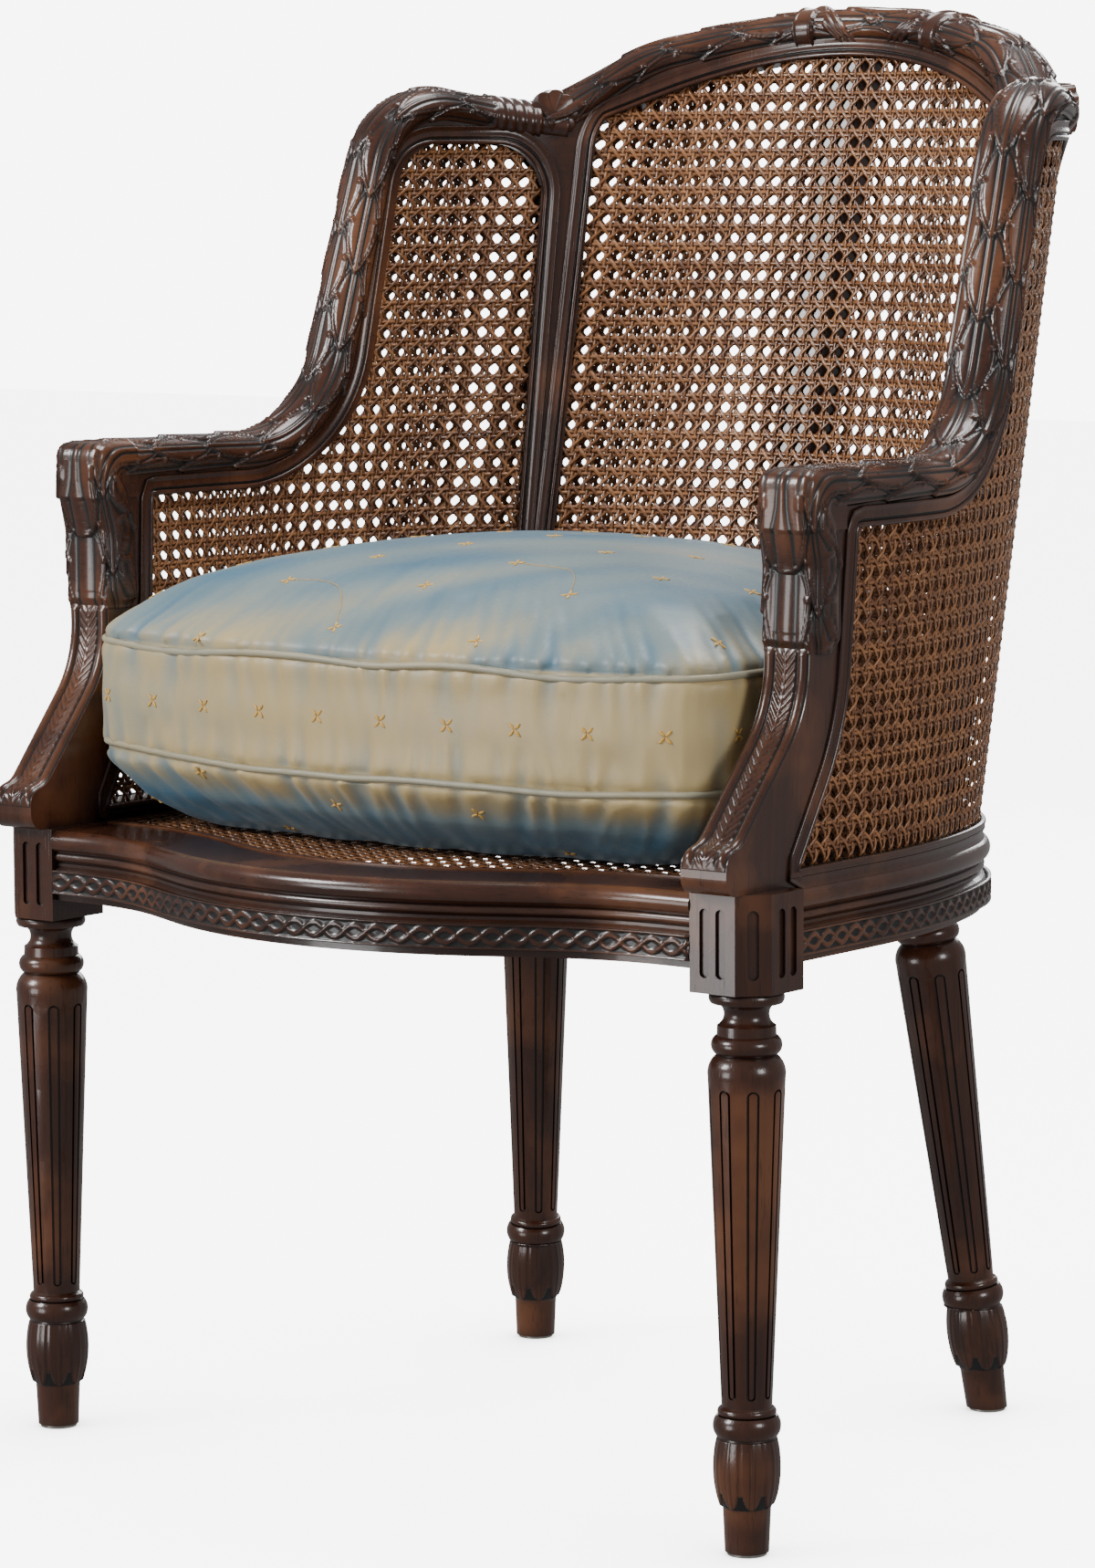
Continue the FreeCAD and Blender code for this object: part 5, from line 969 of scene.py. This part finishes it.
dress(["corner_block_screws"], metal("screw_steel", SCREW_STEEL, 0.25))
dress(["foot_glides"], metal("glide_nickel", GLIDE_NICKEL, 0.2))

# The loose seat cushion is a feather and foam filling in a boxed cover of shot silk, blue one way and gold
# the other. Top and bottom panels are gathered into the boxing along two piped seams.
# Which of the silk's two colours shows where is painted on the cloth, as painted sheen and shade.
WELT_LOW, WELT_HIGH = 0.467, 0.541
WELT_THICK, WELT_STAND, WELT_SWAY = 0.0023, 0.0016, 0.007
SILK_STEP = 0.006
SWELL_CAP, SWELL_FROM_SEAM, SWELL_FRAMES = 0.005, 0.022, 20
EDGE_STEPS = 360
GATHER_STEP, GATHER_LENGTH, GATHER_RISE = 0.014, 0.07, 0.0031
GATHER_FADE_TOP, GATHER_FADE_BASE, GATHER_FADE_BOXING = 0.038, 0.03, 0.020
FOLD_LENGTH, FOLD_WIDTH, FOLD_RISE, FOLD_FROM_SEAM = 0.16, 0.035, 0.0024, 0.05
SEAM_CLEAR, SEAM_HALF, SEAM_SINK = 0.004, 0.0035, 0.0022
BASE_REST = 0.012
SILK_BLUE = (0.050, 0.140, 0.215, 1)
SILK_GREY = (0.185, 0.235, 0.235, 1)
SILK_GOLD = (0.460, 0.350, 0.165, 1)


def shot_silk():
    """Shot silk, gold weft and blue warp; a painted value picks which shows, as painted sheen and shade."""
    material, start = new_material("shot_silk")
    place = start.own_place()
    clouded = start.painted("shot_sheen_and_shade") + place.scaled((9.0, 22.0, 30.0)).cloud(1.0, 4.0) * 0.36 - 0.18
    slub = place.scaled((240.0, 240.0, 2600.0)).cloud(1.0, 2.0)
    turned = clouded + (slub - 0.5) * 0.22
    stops = [(0.05, SILK_GOLD), (1.0, SILK_BLUE), (0.55, SILK_GREY)]
    colour = start.node("ShaderNodeValToRGB", {"stops": stops}, {"Fac": turned})
    threads = slub * 0.5 + place.scaled((2400.0, 2400.0, 300.0)).cloud(1.0, 1.0) * 0.5
    surface(start, {"Base Color": colour, "Roughness": slub * 0.18 + 0.36,
                    "Normal": threads.bump(0.3, 0.0002), "Sheen Weight": 0.12, "Sheen Roughness": 0.4,
                    "Specular IOR Level": 0.5})
    return material


SILK = shot_silk()


def settle(piece):
    """Work the modifiers into the piece's mesh."""
    view = bpy.context.evaluated_depsgraph_get()
    piece.data = bpy.data.meshes.new_from_object(piece.evaluated_get(view), depsgraph=view)
    piece.modifiers.clear()


def vertex_places(mesh):
    """Places of a mesh's points."""
    places = np.empty(len(mesh.vertices) * 3, np.float32)
    mesh.vertices.foreach_get("co", places)
    return places.reshape(-1, 3).astype(float)


def mesh_tree(mesh):
    """A mesh as a tree for finding its surface."""
    return BVHTree.FromPolygons([vertex.co.copy() for vertex in mesh.vertices],
                                [polygon.vertices[:] for polygon in mesh.polygons])


cushion = bpy.data.objects.new("seat_cushion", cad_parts["cushion_filling"].data.copy())
cushion.data.materials.clear()
bpy.context.scene.collection.objects.link(cushion)
skin = cushion.modifiers.new("skin", "REMESH")
skin.mode = "VOXEL"
skin.voxel_size = SILK_STEP
settle(cushion)
stuffing = cushion.modifiers.new("stuffing", "CLOTH")
stuffing.settings.use_pressure = True
stuffing.settings.uniform_pressure_force = 4.0
stuffing.settings.effector_weights.gravity = 0.0
stuffing.point_cache.frame_start = 1
stuffing.point_cache.frame_end = SWELL_FRAMES
flat = vertex_places(cushion.data)
for frame_number in range(1, SWELL_FRAMES + 1):
    bpy.context.scene.frame_set(frame_number)
settle(cushion)
swell = vertex_places(cushion.data) - flat
reach = np.linalg.norm(swell, axis=1)[:, None]
swell *= np.minimum(1.0, SWELL_CAP / np.maximum(reach, 1e-9))
seam = np.minimum(np.abs(flat[:, 2] - WELT_LOW), np.abs(flat[:, 2] - WELT_HIGH))
swell *= eased(seam / SWELL_FROM_SEAM)[:, None]
swell[:, 2] = np.maximum(swell[:, 2], flat[:, 2].min() - flat[:, 2])
cushion.data.vertices.foreach_set("co", (flat + swell).astype(np.float32).ravel())
bpy.context.scene.frame_set(1)
rounder = cushion.modifiers.new("rounder", "SUBSURF")
rounder.levels = 1
rounder.render_levels = 1
settle(cushion)


def gather(arc, level, seed):
    """Creases square to a seam: soft ridges with sharp valleys between."""
    return 1 - 2 * abs(noise.noise(Vector((arc / GATHER_STEP, level / GATHER_LENGTH, seed)))) - 0.45


def fold(x, y):
    """Long soft folds, slanting over the top panel."""
    return noise.noise(Vector(((x * 0.8 + y * 0.6) / FOLD_LENGTH, (y * 0.8 - x * 0.6) / FOLD_WIDTH, 5.5)))


places = vertex_places(cushion.data)
normals = np.empty(len(places) * 3, np.float32)
cushion.data.vertex_normals.foreach_get("vector", normals)
normals = normals.reshape(-1, 3)
seam_line = cut_round(mesh_tree(cushion.data), WELT_HIGH, EDGE_STEPS)
seam_line = np.concatenate([seam_line, seam_line[:1]])
seam_turns = np.linspace(0, 2 * np.pi, EDGE_STEPS + 1)
from_centre = places[:, :2] - SEAT_CENTRE
turn = np.arctan2(from_centre[:, 1], from_centre[:, 0]) % (2 * np.pi)
edge = np.interp(turn, seam_turns, np.linalg.norm(seam_line[:, :2] - SEAT_CENTRE, axis=1))
inset = np.maximum(edge - np.linalg.norm(from_centre, axis=1), 0)
arc = np.interp(turn, seam_turns, travel(seam_line))
height = places[:, 2]
on_top, beneath = height > WELT_HIGH, height < WELT_LOW
off_high = np.hypot(height - WELT_HIGH, np.where(on_top, inset, 0))
off_low = np.hypot(height - WELT_LOW, np.where(beneath, inset, 0))
creases = np.array([[gather(a, h, 3.1), gather(a, h, 8.7)] for a, h in zip(arc, height)])
folds = np.array([fold(x, y) for x, y in places[:, :2]])
high_fade = np.where(on_top, GATHER_FADE_TOP, GATHER_FADE_BOXING)
low_fade = np.where(beneath, GATHER_FADE_BASE, GATHER_FADE_BOXING)
ruffle = (creases[:, 0] * np.exp(-off_high / high_fade) * eased(off_high / SEAM_CLEAR)
          + creases[:, 1] * np.exp(-off_low / low_fade) * eased(off_low / SEAM_CLEAR))
rise = ruffle * GATHER_RISE + folds * FOLD_RISE * on_top * eased(off_high / FOLD_FROM_SEAM)
rise -= SEAM_SINK * (ridge(off_high, SEAM_HALF) + ridge(off_low, SEAM_HALF))
rise *= eased((height - height.min()) / BASE_REST)
boxing = (height > WELT_LOW) & (height < WELT_HIGH)
places += normals * rise[:, None]
cushion.data.vertices.foreach_set("co", places.astype(np.float32).ravel())
cushion.data.update()
cushion.data.polygons.foreach_set("use_smooth", np.ones(len(cushion.data.polygons), bool))
height = places[:, 2]
on_top = height > WELT_HIGH
# Painted shade: the silk turns bluer and darker towards the left of the cushion.
left = eased((-0.10 - places[:, 0]) / 0.16)
# Top: painted sheen, bluer up the dome and to the back, gold at the front as a painted highlight.
above = 0.42 + 0.30 * eased((height - WELT_HIGH) / 0.05) + 0.18 * eased((places[:, 1] + 0.12) / 0.3)
middle = 0.10 + 0.22 * left
# Underside: painted shade, bluer and darker downwards and towards the left.
below = 0.12 + 0.85 * eased((WELT_LOW - 0.006 - height) / 0.030) + 0.35 * left
# The boxing stays gold, turning bluer at the left as painted shade.
shot_sheen_and_shade = np.where(on_top, above, np.where(boxing, middle, below))
# Painted shade in the gathers: blue in their valleys, gold on their ridges; the top's folds bluer as they
# rise.
paint(cushion, "shot_sheen_and_shade", shot_sheen_and_shade + folds * 0.45 * on_top - ruffle * 0.50)
cushion.data.materials.append(SILK)
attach(cushion, "cushion")
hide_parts("cushion_cover", "cushion_filling")
cushion_tree = mesh_tree(cushion.data)


def around_path(path, radius, count, closed=True):
    """Rings of points round a path."""
    ahead = unit(np.roll(path, -1, 0) - np.roll(path, 1, 0) if closed else np.gradient(path, axis=0))
    side = unit(np.cross(ahead, [0, 0, 1.0]))
    up = np.cross(side, ahead)
    turn = np.linspace(0, 2 * np.pi, count, endpoint=False)
    return (path[:, None] + side[:, None] * (np.cos(turn) * radius)[None, :, None]
            + up[:, None] * (np.sin(turn) * radius)[None, :, None])


for name, level, seed in (("lower_welt", WELT_LOW, 2.2), ("upper_welt", WELT_HIGH, 6.4)):
    path = []
    for spot in cut_round(cushion_tree, level, 720):
        away = Vector((spot[0] - SEAT_CENTRE[0], spot[1] - SEAT_CENTRE[1], 0)).normalized()
        sway = noise.noise(Vector((away.x * 2.6, away.y * 2.6, seed))) * WELT_SWAY
        path.append([spot[0] + away.x * WELT_STAND, spot[1] + away.y * WELT_STAND, level + sway])
    path = np.array(path)
    for _ in range(3):
        path = (path * 2 + np.roll(path, 1, 0) + np.roll(path, -1, 0)) / 4
    rings = around_path(path, WELT_THICK, 12)
    welt = tube_mesh(name, rings, SILK, looped=True, body="cushion")
    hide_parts("cushion_" + name)
    paint(welt, "shot_sheen_and_shade", np.full(len(welt.data.vertices), 0.30))

# Little four-petalled crosses are embroidered in gold silk, in slanting rows over the top and bottom
# panels and in one row along the boxing. Two long stitches lie loose on the top, as worn.
PETAL_START, PETAL_LENGTH, PETAL_HALF, PETAL_RISE = 0.0005, 0.0052, 0.00125, 0.0006
THREAD_CLEAR = 0.0001
ROW_STEP, ROW_SLANT, ROW_START = (0.038, 0.046), (0.076, -0.044), (0.012, -0.020)
BOXING_STEP = 0.0515
PANEL_MARGIN = 0.006
PANEL_LEAN, BOXING_LEAN = 0.35, math.pi / 4
ABOVE_CUSHION, BELOW_CUSHION, PROBE = 0.8, 0.3, 0.4
LOOSE_THREAD, LOOSE_CLEAR, LOOSE_BOW = 0.00022, 0.0003, (0.010, 0.014)
THREAD_DARK = (0.42, 0.215, 0.030, 1)
THREAD_BRIGHT = (0.80, 0.50, 0.105, 1)


def embroidery():
    """Glossy gold silk, laid in satin stitches."""
    material, start = new_material("gold_thread")
    stitch = start.own_place().cloud(1700.0, 2.0)
    surface(start, {"Base Color": stitch.between(0.3, 0.7).blend(THREAD_DARK, THREAD_BRIGHT),
                    "Roughness": stitch * 0.2 + 0.3, "Normal": stitch.bump(0.5, 0.0003),
                    "Sheen Weight": 0.2})
    return material


GOLD = embroidery()


def petals_at(spot, normal, aim, lean):
    """Rings of the four petals of a cross on the cloth."""
    ahead = (aim - normal * aim.dot(normal)).normalized()
    aside = normal.cross(ahead)
    rings = []
    for quarter in range(4):
        turn = quarter * math.pi / 2 + lean
        out = ahead * math.cos(turn) + aside * math.sin(turn)
        across = normal.cross(out)
        petal = []
        for share in (0.0, 0.2, 0.5, 0.8, 1.0):
            middle = spot + out * (PETAL_START + PETAL_LENGTH * share) + normal * THREAD_CLEAR
            wide = PETAL_HALF * max(math.sin(math.pi * (0.08 + share * 0.84)), 0.12)
            level, climb = across * wide, normal * PETAL_RISE
            petal.append([(middle + level * math.cos(angle) + climb * math.sin(angle))[:]
                          for angle in np.linspace(0, 2 * math.pi, 6, endpoint=False)])
        rings.append(petal)
    return rings


crosses, top_spots = [], {}
for row in range(-9, 10):
    for column in range(-9, 10):
        x = row * ROW_STEP[0] + column * ROW_SLANT[0] + ROW_START[0]
        y = row * ROW_STEP[1] + column * ROW_SLANT[1] + SEAT_CENTRE[1] + ROW_START[1]
        spot, normal, _, _ = cushion_tree.ray_cast(Vector((x, y, ABOVE_CUSHION)), Vector((0, 0, -1)), PROBE)
        if spot is not None and spot.z > WELT_HIGH + PANEL_MARGIN and normal.z > 0.1:
            crosses += petals_at(spot, normal, Vector((1, 0, 0)), PANEL_LEAN)
            top_spots[row, column] = spot
        spot, normal, _, _ = cushion_tree.ray_cast(Vector((x, y, BELOW_CUSHION)), Vector((0, 0, 1)), PROBE)
        if spot is not None and spot.z < WELT_LOW - PANEL_MARGIN and normal.z < -0.1:
            crosses += petals_at(spot, normal, Vector((1, 0, 0)), PANEL_LEAN)
boxing_path = cut_round(cushion_tree, (WELT_LOW + WELT_HIGH) / 2, 1440)
boxing_run = travel(np.concatenate([boxing_path, boxing_path[:1]]))
for place in np.arange(0, boxing_run[-1], boxing_run[-1] / round(boxing_run[-1] / BOXING_STEP)):
    near = Vector(boxing_path[np.searchsorted(boxing_run, place) % len(boxing_path)])
    spot, normal, _, _ = cushion_tree.find_nearest(near)
    crosses += petals_at(spot, normal, Vector((0, 0, 1)), BOXING_LEAN)
tube_mesh("embroidered_crosses", crosses, GOLD, body="cushion")


def loose_stitch(name, first, second):
    """A long stitch lying bowed on the cloth between two crosses."""
    points = []
    for share in np.linspace(0, 1, 25):
        spot = first.lerp(second, float(share)) + Vector((*LOOSE_BOW, 0)) * math.sin(math.pi * share)
        hit, normal, _, _ = cushion_tree.ray_cast(Vector((spot.x, spot.y, ABOVE_CUSHION)),
                                                  Vector((0, 0, -1)), PROBE)
        points.append((hit + normal * LOOSE_CLEAR)[:])
    rings = around_path(np.array(points), LOOSE_THREAD, 6, closed=False)
    tube_mesh(name, rings, GOLD, body="cushion")


from_front = sorted((spot.y, (row, column)) for (row, column), spot in top_spots.items()
                    if (row, column + 1) in top_spots and abs(spot.x) < 0.12)
for number, (_, (row, column)) in enumerate([from_front[0], from_front[3]]):
    loose_stitch("loose_stitch_" + str(number + 1), top_spots[row, column], top_spots[row, column + 1])

# The camera stands where the photograph's stood, about 3.6 m away with a long lens, a little above the
# cushion. Its place, turns and lens were solved from the photograph.
CAMERA_PLACE = (2.17478, -2.89595, 0.85910)
CAMERA_TURN = math.radians(37.484)
CAMERA_DROP = math.radians(6.641)
CAMERA_ROLL = math.radians(-0.287)
LENS, FILM_WIDTH = 123.84, 36.0
camera = bpy.data.objects.new("camera", bpy.data.cameras.new("camera"))
camera.data.lens = LENS
camera.data.sensor_width = FILM_WIDTH
camera.data.clip_end = 60.0
camera.matrix_world = (Matrix.Translation(CAMERA_PLACE) @ Matrix.Rotation(CAMERA_TURN, 4, "Z")
                       @ Matrix.Rotation(math.pi / 2 - CAMERA_DROP, 4, "X")
                       @ Matrix.Rotation(CAMERA_ROLL, 4, "Z"))
bpy.context.scene.collection.objects.link(camera)
bpy.context.scene.camera = camera

# The studio is a plain pale floor that runs into a white room. Both look bright to the camera and light the
# chair much less; a soft shadow is painted on the floor under the feet.
FLOOR_HALF, FLOOR_BRIGHT = 12.0, 6.0
FLOOR_PAPER = (0.92, 0.92, 0.92, 1)
FLOOR_SHADE = (0.30, 0.30, 0.30, 1)
WHITE = (1.0, 1.0, 1.0, 1)
ROOM_GLOW, ROOM_WHITE = 0.34, 7.5
floor_mesh = bpy.data.meshes.new("floor")
floor_mesh.from_pydata([(-FLOOR_HALF, -FLOOR_HALF, 0), (FLOOR_HALF, -FLOOR_HALF, 0),
                        (FLOOR_HALF, FLOOR_HALF, 0), (-FLOOR_HALF, FLOOR_HALF, 0)], [], [(0, 1, 2, 3)])
floor = bpy.data.objects.new("floor", floor_mesh)
bpy.context.scene.collection.objects.link(floor)
paper, start = new_material("pale_floor")
# Painted shadow: the floor's glow dims to grey where ambient occlusion finds the feet near.
shade = start.open_air(0.16, 8).between(0.35, 1.0).blend(FLOOR_SHADE, WHITE)
surface(start, {"Base Color": FLOOR_PAPER, "Roughness": 0.6, "Emission Color": shade,
                "Emission Strength": FLOOR_BRIGHT})
floor_mesh.materials.append(paper)
floor.visible_glossy = False
floor.visible_diffuse = False
room = bpy.data.worlds.new("white_room")
room.use_nodes = True
room.node_tree.nodes.clear()
air = Tone(room.node_tree)
seen = air.node("ShaderNodeLightPath", output="Is Camera Ray")
glow = air.node("ShaderNodeBackground", None,
                {"Color": WHITE, "Strength": seen * (ROOM_WHITE - ROOM_GLOW) + ROOM_GLOW})
air.node("ShaderNodeOutputWorld", None, {"Surface": glow})
bpy.context.scene.world = room

# Five soft boxes face the middle of the chair: the key light at the front left, a weaker one at the right,
# one low in front for the rails, one behind for the cane and one overhead.
CHAIR_MIDDLE = (0.0, 0.0, 0.5)


def soft_light(name, place, width, power):
    """A square soft box that faces the middle of the chair."""
    lamp = bpy.data.lights.new(name, "AREA")
    lamp.shape = "SQUARE"
    lamp.size = width
    lamp.energy = power
    holder = bpy.data.objects.new(name, lamp)
    holder.location = place
    holder.rotation_mode = "QUATERNION"
    holder.rotation_quaternion = (Vector(CHAIR_MIDDLE) - Vector(place)).to_track_quat("-Z", "Y")
    bpy.context.scene.collection.objects.link(holder)


soft_light("key_light", (-1.9, -2.6, 2.3), 1.0, 115.0)
soft_light("side_light", (2.8, -0.6, 1.3), 0.8, 30.0)
soft_light("low_light", (-1.0, -2.7, 0.35), 1.0, 26.0)
soft_light("back_light", (-1.2, 2.9, 1.6), 1.4, 45.0)
soft_light("top_light", (0.2, 0.5, 3.0), 1.2, 70.0)
